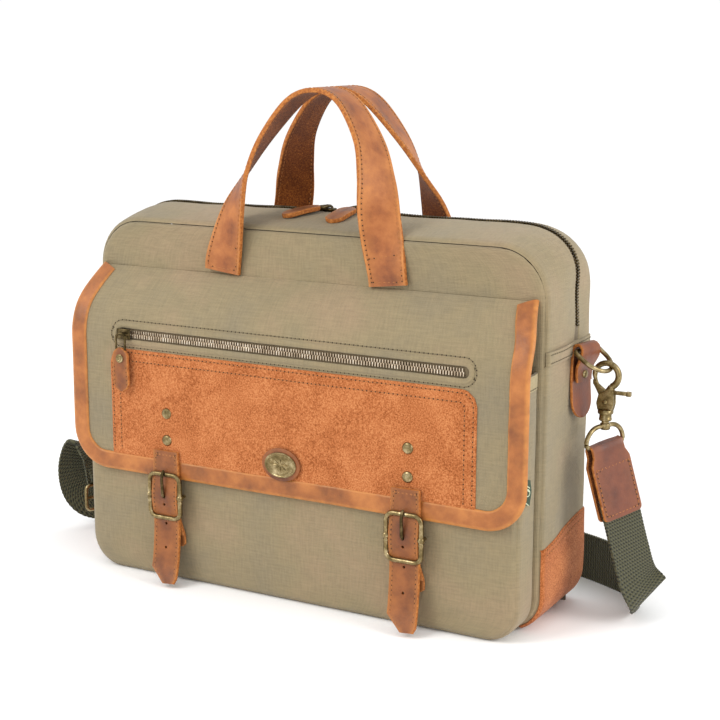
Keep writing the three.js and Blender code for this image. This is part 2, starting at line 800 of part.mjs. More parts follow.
function strapEnd() {
  const half = webbingWidth / 2 + 1;
  const neck = swivelWidth / 2 - swivelWire - loopClearance;
  const shape = polygon([
    [-neck, 0],
    [neck, 0],
    [neck, -strapEndShoulder / 2],
    [half, -strapEndShoulder],
    [half, -strapEndLength],
    [-half, -strapEndLength],
    [-half, -strapEndShoulder],
    [-neck, -strapEndShoulder / 2],
  ]);
  const plate = plateXZ(shape, -strapEndThickness / 2, strapEndThickness / 2);
  const loop = leatherLoop(2 * neck);
  loop.rotateZ(Math.PI / 2);
  const bore = loopBore(2 * neck);
  bore.rotateZ(Math.PI / 2);
  return cut(join(plate, loop), bore);
}

const swivelTop = hookBottom - seamGap;
const strapEndTop = swivelTop - swivelHeight + swivelWire / 2;
const strapEndBottom = strapEndTop - strapEndLength;

function addSide(side) {
  const name = side < 0 ? 'left' : 'right';
  const halfTurn = side < 0 ? Math.PI : 0;
  const fixture = new THREE.Group();
  fixture.rotation.z = halfTurn;
  fixture.position.y = mouthOffset;
  satchel.add(fixture);
  addPart(`corner_patch_${name}`, cornerPatch(side), 'suede');
  fixture.add(addPart(`side_tab_${name}`, tab(), 'darkLeather'));
  const ring = addPart(`d_ring_${name}`, dRing(), 'brass');
  ring.position.set(ringBarX, 0, ringBarZ);
  ring.rotation.y = ringTilt;
  fixture.add(ring);
  const hook = new THREE.Group();
  hook.position.set(hookX, 0, hookEyeZ);
  hook.add(addPart(`snap_hook_${name}`, hookBody(), 'brass'));
  hook.add(addPart(`hook_trigger_${name}`, hookGate(), 'brass'));
  fixture.add(hook);
  const end = new THREE.Group();
  end.position.set(hookX, 0, 0);
  end.rotation.z = Math.PI / 2 - THREE.MathUtils.degToRad(strapEndTurn);
  const eye = addPart(`hook_swivel_${name}`, swivel(), 'brass');
  eye.position.z = swivelTop;
  end.add(eye);
  const leather = addPart(`strap_end_${name}`, strapEnd(), 'darkLeather');
  leather.position.z = strapEndTop;
  end.add(leather);
  fixture.add(end);
}

// Shoulder strap: down from the right strap end, on edge behind the bag, up to the left one

const hangX = hookX;
const standZ = webbingWidth / 2 + groundClearance;

function shoulderPath() {
  const turn = Math.PI / 2 - THREE.MathUtils.degToRad(strapEndTurn);
  const across = vector(Math.cos(turn), Math.sin(turn), 0);
  const up = vector(0, 0, 1);
  const route = [
    [hangX, mouthOffset, strapEndBottom - seamGap, across],
    [hangX, mouthOffset, strapEndBottom - 8, across],
    [hangX + 6, mouthOffset + 1, strapEndBottom - 22, across],
    [hangX + 14, mouthOffset + 8, standZ + 6, vector(0.45, 0.6, 0.6)],
    [hangX + 16, mouthOffset + 30, standZ, up],
    [hangX, backY + 20, standZ, up],
    [sideX - 20, backY + 48, standZ, up],
    [sideX / 2, backY + 68, standZ, up],
    [0, backY + 74, standZ, up],
    [-sideX / 2, backY + 64, standZ, up],
    [-sideX + 10, backY + 40, standZ, up],
    [-hangX - 18, mouthOffset + 26, standZ, up],
    [-hangX - 42, mouthOffset - 8, standZ + 6, vector(0.1, 0.2, 1)],
    [-hangX - 48, mouthOffset - 14, standZ + 30, vector(0.35, 0.75, 0.5)],
    [-hangX - 38, mouthOffset - 6, standZ + 56, vector(0.4, 0.9, 0)],
  ];
  return new StrapPath(route.map(([x, y, z]) => vector(x, y, z)), route.map(([, , , direction]) => direction));
}

function adjusterPath() {
  const turn = Math.PI / 2 - THREE.MathUtils.degToRad(strapEndTurn);
  const across = vector(Math.cos(turn), Math.sin(turn), 0);
  const route = [
    [-hangX, mouthOffset, strapEndBottom - seamGap],
    [-hangX, mouthOffset, strapEndBottom - 8],
    [-hangX - 8, mouthOffset - 2, strapEndBottom - 18],
    [-hangX - 12, mouthOffset - 4, strapEndBottom - adjusterWebbingDrop],
  ];
  return new StrapPath(route.map(([x, y, z]) => vector(x, y, z)), route.map(() => across));
}

function adjuster() {
  const half = webbingWidth / 2 + adjusterBar + 1;
  const outer = roundedPanel(half, -adjusterLength / 2, adjusterLength / 2, 5, 5);
  const inner = half - adjusterBar;
  const edge = adjusterLength / 2 - adjusterBar;
  outer.holes.push(roundedPanel(inner, adjusterBar / 2, edge, 1, 1));
  outer.holes.push(roundedPanel(inner, -edge, -adjusterBar / 2, 1, 1));
  return plateXZ(outer, -adjusterBar / 2, adjusterBar / 2);
}

function addShoulderStrap() {
  addPart('shoulder_webbing', strap(shoulderPath(), webbingWidth, webbingThickness, 72), 'webbing');
  addPart('adjuster_webbing', strap(adjusterPath(), webbingWidth, webbingThickness, 8), 'webbing');
  const slide = addPart('slide_adjuster', adjuster(), 'brass');
  const slideTop = strapEndBottom - adjusterWebbingDrop - webbingWidth * adjusterWebbingTilt;
  slide.position.set(-hangX - 15, mouthOffset - 5, slideTop - adjusterLength / 2);
  slide.rotation.z = Math.PI / 2 - THREE.MathUtils.degToRad(strapEndTurn);
}

addPanels();
addLowerGusset();
addMouth();
addDivider();
addPocket();
addFlap();
addBadge();
addBuckles();
addTopSliders();
addFlapSlider();
addPart('front_handle', handle(-1), 'leather');
addPart('back_handle', handle(1), 'leather');
addSide(1);
addSide(-1);
addShoulderStrap();

export default satchel;
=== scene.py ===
# %% [markdown]
# # A canvas satchel with suede and leather trim
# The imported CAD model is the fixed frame: it says where every piece is and how it moves. Here the
# plain solids get their looks. Cloth and leather are lofted from the same sizes, metal is shaped
# from primitives and bent rods, and every finish is a node material worked out in millimetres.

# %% Load the frame
import bisect
import math

import bpy
from mathutils import Matrix, Vector, noise


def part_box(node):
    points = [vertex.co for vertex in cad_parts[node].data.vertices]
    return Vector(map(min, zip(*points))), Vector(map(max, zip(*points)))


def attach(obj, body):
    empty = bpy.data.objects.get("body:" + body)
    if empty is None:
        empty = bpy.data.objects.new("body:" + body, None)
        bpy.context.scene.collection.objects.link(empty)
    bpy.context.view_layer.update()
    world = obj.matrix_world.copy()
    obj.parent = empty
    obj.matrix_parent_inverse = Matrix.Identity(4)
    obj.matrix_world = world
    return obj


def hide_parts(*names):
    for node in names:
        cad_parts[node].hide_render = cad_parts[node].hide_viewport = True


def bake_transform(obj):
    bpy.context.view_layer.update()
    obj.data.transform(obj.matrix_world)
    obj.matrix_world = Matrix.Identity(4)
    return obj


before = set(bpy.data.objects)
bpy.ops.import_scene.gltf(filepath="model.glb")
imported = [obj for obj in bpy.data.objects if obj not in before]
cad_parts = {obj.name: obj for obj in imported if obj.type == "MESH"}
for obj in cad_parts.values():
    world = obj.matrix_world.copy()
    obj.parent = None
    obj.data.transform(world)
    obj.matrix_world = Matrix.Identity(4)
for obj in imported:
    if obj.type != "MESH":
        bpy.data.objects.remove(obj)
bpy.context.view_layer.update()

MM = 0.001
X, Y, Z = Vector((1, 0, 0)), Vector((0, 1, 0)), Vector((0, 0, 1))
bpy.ops.object.select_all(action="DESELECT")

# %% [markdown]
# ## Camera, floor and light
# A shelf picture: the camera stands to the right of the bag, a little above it, with a long lens.
# A white world fills the shadows, one large soft lamp from the front left shapes the cloth, and a
# smaller one on the right keeps the metal bright. A lamp of P watts at d metres lights a surface
# about as strongly as a world of strength P / (10 d^2).

# %% Camera
AZIMUTH = math.radians(28.96)
ELEVATION = math.radians(12.03)
DISTANCE = 1.227
TARGET = Vector((0.0231, 0.0, 0.1831))
LENS = 76.9

toward = Vector((
    math.sin(AZIMUTH) * math.cos(ELEVATION),
    -math.cos(AZIMUTH) * math.cos(ELEVATION),
    math.sin(ELEVATION),
))
camera = bpy.data.objects.new("camera", bpy.data.cameras.new("camera"))
bpy.context.scene.collection.objects.link(camera)
camera.data.lens = LENS
camera.data.sensor_width = 36
camera.location = TARGET + toward * DISTANCE
camera.rotation_euler = (-toward).to_track_quat("-Z", "Y").to_euler()
bpy.context.scene.camera = camera


# %% Colours
def linear(code, alpha=1.0):
    """An sRGB hex colour as linear red, green, blue and alpha."""
    parts = [int(code[k:k + 2], 16) / 255 for k in (1, 3, 5)]
    return (*[p / 12.92 if p <= 0.04045 else ((p + 0.055) / 1.055) ** 2.4 for p in parts], alpha)


# %% Floor and lamps
bpy.context.scene.view_settings.view_transform = "Standard"
world = bpy.data.worlds.new("studio")
bpy.context.scene.world = world
world.use_nodes = True
world.node_tree.nodes["Background"].inputs["Color"].default_value = linear("#FFFFFF")
world.node_tree.nodes["Background"].inputs["Strength"].default_value = 1.02


def lamp(name, place, aim, size, watts):
    light = bpy.data.lights.new(name, "AREA")
    light.shape = "SQUARE"
    light.size = size
    light.energy = watts
    holder = bpy.data.objects.new(name, light)
    bpy.context.scene.collection.objects.link(holder)
    holder.location = place
    holder.rotation_euler = (Vector(aim) - Vector(place)).to_track_quat("-Z", "Y").to_euler()


lamp("key_lamp", (-1.1, -1.7, 1.7), (0, 0, 0.15), 1.1, 27)
lamp("rim_lamp", (1.8, -0.1, 0.9), (0.1, 0, 0.12), 0.9, 15)

bpy.ops.mesh.primitive_plane_add(size=8, location=(0, 0, -0.0003))
floor = bpy.context.object
floor.name = "floor"


# %% [markdown]
# ## Finishes
# Each finish is one small node tree on a Principled shader. Woven goods read the piece's own UV
# map, which is laid out in metres, so threads keep their size and follow the cloth. Leather, suede
# and metal read Object coordinates. Threads of a real canvas are about 0.6 mm apart, which is too
# fine to see at this distance, so the weave is drawn about twice as coarse.

# %% A helper that adds a node
def add(tree, kind, inputs=None, stops=None, **settings):
    """Adds a node. Inputs are values, or sockets to link; stops are a colour ramp's."""
    made = tree.nodes.new("ShaderNode" + kind)
    for name, value in settings.items():
        setattr(made, name, value)
    sockets = {s.identifier: s for s in made.inputs}
    for name, value in (inputs or {}).items():
        if isinstance(value, bpy.types.NodeSocket):
            tree.links.new(value, sockets[name])
        else:
            sockets[name].default_value = value
    if stops:
        ramp = made.color_ramp.elements
        while len(ramp) < len(stops):
            ramp.new(0.5)
        for element, (place, colour) in zip(ramp, stops):
            element.position = place
            element.color = linear(colour)
    return made


def finish(name):
    """A new material: its node tree, its shader and its bump node, already linked."""
    material = bpy.data.materials.new(name)
    material.use_nodes = True
    tree = material.node_tree
    shader = tree.nodes["Principled BSDF"]
    bump = add(tree, "Bump")
    tree.links.new(bump.outputs["Normal"], shader.inputs["Normal"])
    return material, tree, shader, bump


def link(tree, source, target):
    tree.links.new(source, target)


# %% [markdown]
# ### Washed canvas
# Cotton canvas, dyed in the piece and washed. Threads of uneven thickness make short streaks both
# ways, and washing leaves the dye lighter and browner in patches. It is matt, with a faint fuzz,
# which the sheen gives. The lining is the same weave in a plain dark brown.

# %% Canvas and lining
def woven(name, dark, middle, light, streak, relief):
    material, tree, shader, bump = finish(name)
    uv = add(tree, "UVMap", uv_map="cloth").outputs["UV"]
    warp_place = add(tree, "Mapping", {"Vector": uv, "Scale": (620, 90, 1)}).outputs["Vector"]
    weft_place = add(tree, "Mapping", {"Vector": uv, "Scale": (70, 680, 1)}).outputs["Vector"]
    warp = add(tree, "TexNoise", {"Vector": warp_place, "Scale": 1, "Detail": 2}).outputs["Fac"]
    weft = add(tree, "TexNoise", {"Vector": weft_place, "Scale": 1, "Detail": 2}).outputs["Fac"]
    slub = add(tree, "Math", {"Value": warp, "Value_001": weft}, operation="ADD").outputs["Value"]
    place = add(tree, "TexCoord").outputs["Object"]
    patches = add(tree, "TexNoise", {"Vector": place, "Scale": 14, "Detail": 3}).outputs["Fac"]
    colour = add(
        tree, "ValToRGB", {"Fac": patches},
        stops=[(0.3, dark), (0.5, middle), (0.72, light)],
    ).outputs["Color"]
    strength = add(
        tree, "MapRange",
        {"Value": slub, "From Min": 0.7, "From Max": 1.3, "To Min": 1 - streak, "To Max": 1 + streak},
    ).outputs["Result"]
    shade = add(tree, "VectorMath", {"Vector": colour, "Scale": strength}, operation="SCALE")
    link(tree, shade.outputs["Vector"], shader.inputs["Base Color"])
    warp_wave = add(tree, "TexWave", {"Vector": uv, "Scale": 260, "Distortion": 0.6},
                    bands_direction="X").outputs["Fac"]
    weft_wave = add(tree, "TexWave", {"Vector": uv, "Scale": 260, "Distortion": 0.6},
                    bands_direction="Y").outputs["Fac"]
    weave = add(tree, "Math", {"Value": warp_wave, "Value_001": weft_wave}, operation="MULTIPLY")
    height = add(tree, "Math", {"Value": slub, "Value_001": weave.outputs["Value"]}, operation="ADD")
    link(tree, height.outputs["Value"], bump.inputs["Height"])
    bump.inputs["Distance"].default_value = relief
    bump.inputs["Strength"].default_value = 0.7
    shader.inputs["Roughness"].default_value = 0.9
    shader.inputs["Sheen Weight"].default_value = 0.15
    shader.inputs["Sheen Roughness"].default_value = 0.6
    return material


canvas = woven("washed_canvas", "#80745A", "#897A5A", "#947E60", 0.11, 0.25 * MM)
canvas_hem = woven("canvas_hem", "#978963", "#A09069", "#A6926E", 0.12, 0.3 * MM)
lining = woven("cotton_lining", "#4A4334", "#504838", "#564D3C", 0.06, 0.1 * MM)
zip_tape = woven("zip_tape", "#65583E", "#6B5C42", "#706048", 0.12, 0.15 * MM)


# %% [markdown]
# ### Suede
# The flesh side of a split hide, sanded to a nap. Short fibres lie in clumps a millimetre or two
# wide, some brushed one way and some the other, which gives the speckle. It has no gloss at all,
# only sheen along the outline.

# %% Suede
def napped(name, dark, middle, light):
    material, tree, shader, bump = finish(name)
    place = add(tree, "TexCoord").outputs["Object"]
    clumps = add(tree, "TexNoise", {"Vector": place, "Scale": 850, "Detail": 3, "Roughness": 0.7})
    strokes = add(tree, "TexNoise", {"Vector": place, "Scale": 38, "Detail": 3, "Distortion": 0.6})
    mixed = add(
        tree, "MapRange",
        {"Value": strokes.outputs["Fac"], "From Min": 0.3, "From Max": 0.7, "To Min": -0.07, "To Max": 0.07},
    )
    level = add(tree, "Math", {"Value": clumps.outputs["Fac"], "Value_001": mixed.outputs["Result"]},
                operation="ADD")
    colour = add(tree, "ValToRGB", {"Fac": level.outputs["Value"]},
                 stops=[(0.3, dark), (0.5, middle), (0.68, light)])
    link(tree, colour.outputs["Color"], shader.inputs["Base Color"])
    link(tree, level.outputs["Value"], bump.inputs["Height"])
    bump.inputs["Distance"].default_value = 0.5 * MM
    bump.inputs["Strength"].default_value = 0.6
    shader.inputs["Roughness"].default_value = 0.95
    shader.inputs["Specular IOR Level"].default_value = 0.15
    shader.inputs["Sheen Weight"].default_value = 0.12
    shader.inputs["Sheen Roughness"].default_value = 0.5
    return material


suede = napped("split_suede", "#7E4016", "#B1683A", "#C98452")
flesh_side = napped("leather_flesh_side", "#421E08", "#6E3812", "#985824")


# %% [markdown]
# ### Pull-up leather
# Oiled full-grain cowhide. Where it bends or rubs the oil moves away and the colour turns lighter,
# so broad clouds of light and dark lie over a fine pebble grain. A "wear" value stored on the mesh
# is 1 along cut edges and lightens them. The cut edge itself is left raw and shows pale fibre.

# %% Leather
def hide(name, dark, middle, light, worn, gloss=0.5):
    material, tree, shader, bump = finish(name)
    place = add(tree, "TexCoord").outputs["Object"]
    clouds = add(tree, "TexNoise", {"Vector": place, "Scale": 45, "Detail": 5, "Roughness": 0.6})
    colour = add(tree, "ValToRGB", {"Fac": clouds.outputs["Fac"]},
                 stops=[(0.32, dark), (0.5, middle), (0.7, light)])
    wear = add(tree, "Attribute", attribute_name="wear").outputs["Fac"]
    scuff = add(tree, "TexNoise", {"Vector": place, "Scale": 160, "Detail": 3})
    amount = add(tree, "Math", {"Value": wear, "Value_001": scuff.outputs["Fac"]}, operation="MULTIPLY")
    mixed = add(
        tree, "Mix",
        {"Factor_Float": amount.outputs["Value"], "A_Color": colour.outputs["Color"],
         "B_Color": linear(worn)},
        data_type="RGBA",
    )
    blended = next(socket for socket in mixed.outputs if socket.identifier == "Result_Color")
    link(tree, blended, shader.inputs["Base Color"])
    grain = add(tree, "TexVoronoi", {"Vector": place, "Scale": 900}, feature="SMOOTH_F1")
    pores = add(tree, "TexNoise", {"Vector": place, "Scale": 300, "Detail": 4})
    height = add(tree, "Math", {"Value": grain.outputs["Distance"], "Value_001": pores.outputs["Fac"]},
                 operation="ADD")
    link(tree, height.outputs["Value"], bump.inputs["Height"])
    bump.inputs["Distance"].default_value = 0.25 * MM
    bump.inputs["Strength"].default_value = 0.5
    rough = add(
        tree, "MapRange",
        {"Value": clouds.outputs["Fac"], "From Min": 0.3, "From Max": 0.7,
         "To Min": gloss - 0.08, "To Max": gloss + 0.12},
    )
    link(tree, rough.outputs["Result"], shader.inputs["Roughness"])
    return material


def raw_edge():
    material, tree, shader, bump = finish("raw_leather_edge")
    place = add(tree, "TexCoord").outputs["Object"]
    fibre = add(tree, "TexNoise", {"Vector": place, "Scale": 500, "Detail": 4})
    colour = add(tree, "ValToRGB", {"Fac": fibre.outputs["Fac"]},
                 stops=[(0.3, "#8A4A18"), (0.55, "#B06A2A"), (0.75, "#C98743")])
    link(tree, colour.outputs["Color"], shader.inputs["Base Color"])
    link(tree, fibre.outputs["Fac"], bump.inputs["Height"])
    bump.inputs["Distance"].default_value = 0.3 * MM
    shader.inputs["Roughness"].default_value = 0.8
    return material


tan_leather = hide("tan_pull_up_leather", "#6E3611", "#965423", "#B57038", "#D08A3F")
strap_leather = hide("brown_pull_up_leather", "#572A0E", "#7C441A", "#9A5B2A", "#BD7730")
dark_leather = hide("dark_pull_up_leather", "#562710", "#6C3418", "#7E4222", "#94572B", gloss=0.4)
leather_edge = raw_edge()


# %% [markdown]
# ### Webbing
# Cotton webbing is a thick twill: yarns about 2 mm wide run in slanting ribs along the band. The
# map's first number runs across the band and the second along it, so their sum is the slant.

# %% Webbing
def twill():
    material, tree, shader, bump = finish("cotton_webbing")
    uv = add(tree, "UVMap", uv_map="cloth").outputs["UV"]
    turned = add(tree, "Mapping", {"Vector": uv, "Rotation": (0, 0, math.radians(38))}).outputs["Vector"]
    ribs = add(tree, "TexWave", {"Vector": turned, "Scale": 150, "Distortion": 1.2, "Detail": 1},
               bands_direction="X")
    picks = add(tree, "TexWave", {"Vector": uv, "Scale": 120, "Distortion": 1.0}, bands_direction="Y")
    height = add(tree, "Math", {"Value": ribs.outputs["Fac"], "Value_001": picks.outputs["Fac"]},
                 operation="ADD")
    colour = add(tree, "ValToRGB", {"Fac": height.outputs["Value"]},
                 stops=[(0.25, "#1E2014"), (0.7, "#383822"), (1.0, "#4E4C33")])
    link(tree, colour.outputs["Color"], shader.inputs["Base Color"])
    link(tree, height.outputs["Value"], bump.inputs["Height"])
    bump.inputs["Distance"].default_value = 0.6 * MM
    shader.inputs["Roughness"].default_value = 0.88
    shader.inputs["Sheen Weight"].default_value = 0.1
    return material


webbing = twill()


# %% [markdown]
# ### Antique brass, zip metal, thread
# Antique brass is plated zinc or steel, darkened in a bath and rubbed back, so the high places are
# pale gold and the rest is olive brown. Zip teeth have the same finish, a little paler. Thread is
# a waxed polyester in the colour of what it sews.

# %% Metal and thread
def metal(name, dark, middle, light, rough):
    material, tree, shader, bump = finish(name)
    place = add(tree, "TexCoord").outputs["Object"]
    patina = add(tree, "TexNoise", {"Vector": place, "Scale": 140, "Detail": 5, "Roughness": 0.7})
    colour = add(tree, "ValToRGB", {"Fac": patina.outputs["Fac"]},
                 stops=[(0.3, dark), (0.5, middle), (0.65, light)])
    link(tree, colour.outputs["Color"], shader.inputs["Base Color"])
    link(tree, patina.outputs["Fac"], bump.inputs["Height"])
    bump.inputs["Distance"].default_value = 0.08 * MM
    bump.inputs["Strength"].default_value = 0.5
    shader.inputs["Metallic"].default_value = 1.0
    spread = add(tree, "MapRange", {"Value": patina.outputs["Fac"], "From Min": 0.3, "From Max": 0.7,
                                    "To Min": rough + 0.12, "To Max": rough - 0.06})
    link(tree, spread.outputs["Result"], shader.inputs["Roughness"])
    return material


def thread(name, code, rough=0.7):
    material, tree, shader, bump = finish(name)
    place = add(tree, "TexCoord").outputs["Object"]
    twist = add(tree, "TexNoise", {"Vector": place, "Scale": 900})
    shade = add(tree, "MapRange", {"Value": twist.outputs["Fac"], "To Min": 0.85, "To Max": 1.1})
    colour = add(tree, "VectorMath", {"Vector": linear(code)[:3], "Scale": shade.outputs["Result"]},
                 operation="SCALE")
    link(tree, colour.outputs["Vector"], shader.inputs["Base Color"])
    link(tree, twist.outputs["Fac"], bump.inputs["Height"])
    bump.inputs["Distance"].default_value = 0.1 * MM
    shader.inputs["Roughness"].default_value = rough
    return material


brass = metal("antique_brass", "#54472A", "#857450", "#B5A47E", 0.3)
dark_brass = metal("dark_antique_brass", "#2E2617", "#4E4229", "#766648", 0.34)
zip_metal = metal("zip_metal", "#94836C", "#BDAD97", "#E3D8C6", 0.3)
tan_thread = thread("tan_thread", "#A86B36")
olive_thread = thread("olive_thread", "#6E6247")
# Near-black finish for the needle holes: painted shade inside each hole, not a colour of the leather or the
# thread
painted_hole_shade = thread("painted_hole_shade", "#2A1B10", 0.9)
label_weave = thread("green_label", "#2F4330")
label_mark = thread("label_mark", "#C3CDAE")


def floor_finish():
    material, _, shader, _ = finish("white_sweep")
    shader.inputs["Base Color"].default_value = linear("#FFFFFF")
    shader.inputs["Roughness"].default_value = 0.9
    shader.inputs["Specular IOR Level"].default_value = 0.1
    return material


floor.data.materials.append(floor_finish())
print("finishes", len(bpy.data.materials))


# %% [markdown]
# ## Tools for cloth and leather
# Sewn goods are sheets and bands, so two shapes cover nearly all of them: a sheet, which is a grid
# of points placed by a rule, and a strap, which is a flat section carried along a line. Both keep a
# UV map in metres. A line measures itself along its own length, so stitches can be spaced evenly.

# %% Lines
class Line:
    """A line through space, with a direction across it at every point where one is given."""

    def __init__(self, points, across=None):
        self.points = [Vector(p) for p in points]
        self.across = [Vector(a) for a in across] if across else None
        self.reach = [0.0]
        for a, b in zip(self.points, self.points[1:]):
            self.reach.append(self.reach[-1] + (b - a).length)
        self.length = self.reach[-1]

    def find(self, s):
        s = min(max(s, 0.0), self.length)
        k = min(max(bisect.bisect_right(self.reach, s) - 1, 0), len(self.points) - 2)
        return k, (s - self.reach[k]) / max(self.reach[k + 1] - self.reach[k], 1e-9)

    def point(self, s):
        k, t = self.find(s)
        return self.points[k].lerp(self.points[k + 1], t)

    def direction(self, s):
        near = 0.6 * MM
        return (self.point(s + near) - self.point(s - near)).normalized()

    def side(self, s):
        """The direction across the line at s, square to it."""
        k, t = self.find(s)
        across = self.across[k].lerp(self.across[k + 1], t)
        along = self.direction(s)
        return (across - along * across.dot(along)).normalized()


def flowing(stations, steps=10):
    """Rows of numbers joined by a smooth curve through every row."""
    rows = [stations[0], *stations, stations[-1]]
    made = []
    for k in range(1, len(rows) - 2):
        for step in range(steps):
            t = step / steps
            made.append([
                0.5 * (2 * b + (c - a) * t + (2 * a - 5 * b + 4 * c - d) * t * t
                       + (3 * b - a - 3 * c + d) * t ** 3)
                for a, b, c, d in zip(*rows[k - 1:k + 3])
            ])
    made.append(list(stations[-1]))
    return made


def smooth_line(stations, steps=10):
    """A line through stations of three numbers, or of six where the last three point across."""
    rows = flowing(stations, steps)
    return Line([r[:3] for r in rows], [r[3:6] for r in rows] if len(rows[0]) > 3 else None)


def outline(corners, y=0.0, closed=False, arc=10):
    """A line in an upright plane through (x, z, radius) corners."""
    places = [Vector((x, y, z)) for x, z, _ in corners]
    count = len(corners)
    made = []
    for k in range(count):
        radius = corners[k][2]
        if radius <= 0 or (not closed and k in (0, count - 1)):
            made.append(places[k])
            continue
        back = (places[k - 1] - places[k]).normalized()
        ahead = (places[(k + 1) % count] - places[k]).normalized()
        half = back.angle(ahead) / 2
        centre = places[k] + (back + ahead).normalized() * (radius / math.sin(half))
        start = places[k] + back * (radius / math.tan(half)) - centre
        end = places[k] + ahead * (radius / math.tan(half)) - centre
        made += [centre + start.slerp(end, step / arc).normalized() * radius for step in range(arc + 1)]
    if closed:
        made.append(made[0])
    return Line(made)


# %% Sheets
def stations(low, high, step, close=(1.0, 2.2, 3.6, 5.5)):
    """Places from low to high about step apart, with closer ones beside both ends, given in mm."""
    count = max(1, round((high - low) / step))
    inner = [low + (high - low) * k / count for k in range(1, count)]
    inner += [low + c * MM for c in close] + [high - c * MM for c in close]
    made = [low]
    for place in sorted(inner):
        if made[-1] + 0.2 * MM < place < high - 0.2 * MM:
            made.append(place)
    return made + [high]


def place_object(name, mesh):
    made = bpy.data.objects.new(name, mesh)
    bpy.context.scene.collection.objects.link(made)
    return made


def sheet(name, along, across, place):
    """A grid of quads whose point for each pair of stations is place(along, across)."""
    count = len(along)
    points = [place(a, b) for b in across for a in along]
    faces = [
        (k, k + 1, k + count + 1, k + count)
        for row in range(len(across) - 1)
        for k in range(row * count, row * count + count - 1)
    ]
    mesh = bpy.data.meshes.new(name)
    mesh.from_pydata(points, [], faces)
    layer = mesh.uv_layers.new(name="cloth")
    for loop in mesh.loops:
        row, column = divmod(loop.vertex_index, count)
        layer.data[loop.index].uv = (along[column], across[row])
    return place_object(name, mesh)


def only(piece):
    """Selects one object and nothing else."""
    bpy.ops.object.select_all(action="DESELECT")
    piece.select_set(True)
    bpy.context.view_layer.objects.active = piece


def apply_modifiers(piece):
    only(piece)
    for modifier in list(piece.modifiers):
        bpy.ops.object.modifier_apply(modifier=modifier.name)


def mend(piece, merge=0.0):
    """Merges points closer than merge and turns every face outwards."""
    only(piece)
    bpy.ops.object.mode_set(mode="EDIT")
    bpy.ops.mesh.select_all(action="SELECT")
    if merge:
        bpy.ops.mesh.remove_doubles(threshold=merge)
    bpy.ops.mesh.normals_make_consistent(inside=False)
    bpy.ops.object.mode_set(mode="OBJECT")
    return piece


def empty_slots(mesh, count):
    """Room for finishes, so that the faces can already say which one is theirs."""
    for _ in range(count):
        mesh.materials.append(None)


def thicken(piece, thickness, inner=False):
    """Gives a sheet its thickness, away from its outer face. Its inside may have its own finish."""
    empty_slots(piece.data, 2)
    wall = piece.modifiers.new("thickness", "SOLIDIFY")
    wall.thickness = thickness
    wall.offset = -1
    if inner:
        wall.material_offset = 1
    apply_modifiers(piece)
    return piece


def settle(piece, finishes, body, stands_for=(), angle=40, blend=None):
    """Shades a finished piece, gives it its finishes and hides what it stands for. Given blend, it fixes the
    piece in place; otherwise it gives it its body.
    """
    slots = piece.data.materials
    while len(slots) > len(finishes):
        slots.pop()
    for k, one in enumerate(finishes):
        if k < len(slots):
            slots[k] = one
        else:
            slots.append(one)
    only(piece)
    bpy.ops.object.shade_smooth_by_angle(angle=math.radians(angle))
    piece.select_set(False)
    if blend:
        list(blend)
        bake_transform(piece)
    else:
        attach(piece, body)
    if stands_for:
        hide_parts(*stands_for)
    return piece


# %% [markdown]
# Cloth is never flat or even. A seam pulls both its sides into a shallow groove, so each sheet
# rolls inwards over its last few millimetres. Handling leaves gentle unevenness, drawn with noise.

# %% Seams and unevenness
SEAM_DEPTH = 2.4 * MM
SEAM_ROLL = 4.5 * MM


def rolled(distance, depth=SEAM_DEPTH, roll=SEAM_ROLL):
    """How far a sheet has dropped at a distance from its seam."""
    left = 1 - min(max(distance, 0.0) / roll, 1.0)
    return depth * (1 - math.sqrt(max(0.0, 1 - left * left)))


def ripple(a, b, size, height, seed=0.0):
    """Unevenness up to height, in waves of about size."""
    return height * noise.noise(Vector((a / size, seed, b / size)))


def fade(value, low, high):
    """0 below low, 1 above high, and smooth between."""
    t = min(max((value - low) / (high - low), 0.0), 1.0)
    return t * t * (3 - 2 * t)


class Pane:
    """A flat piece with rounded corners, seen from the front."""

    def __init__(self, half, low, high, low_radius, high_radius):
        self.half, self.low, self.high = half, low, high
        self.low_radius, self.high_radius = low_radius, high_radius

    def corner(self, z):
        if z > (self.low + self.high) / 2:
            return self.high_radius, z - (self.high - self.high_radius)
        return self.low_radius, self.low + self.low_radius - z

    def half_at(self, z):
        radius, past = self.corner(z)
        if radius <= 0 or past <= 0:
            return self.half
        return self.half - radius + math.sqrt(max(0.0, radius ** 2 - past ** 2))

    def depth_at(self, x, z):
        """How far inside its outline a point is."""
        radius, past = self.corner(z)
        aside = abs(x) - (self.half - radius)
        if radius > 0 and past > 0 and aside > 0:
            return radius - math.hypot(past, aside)
        return min(self.half - abs(x), self.high - z, z - self.low)


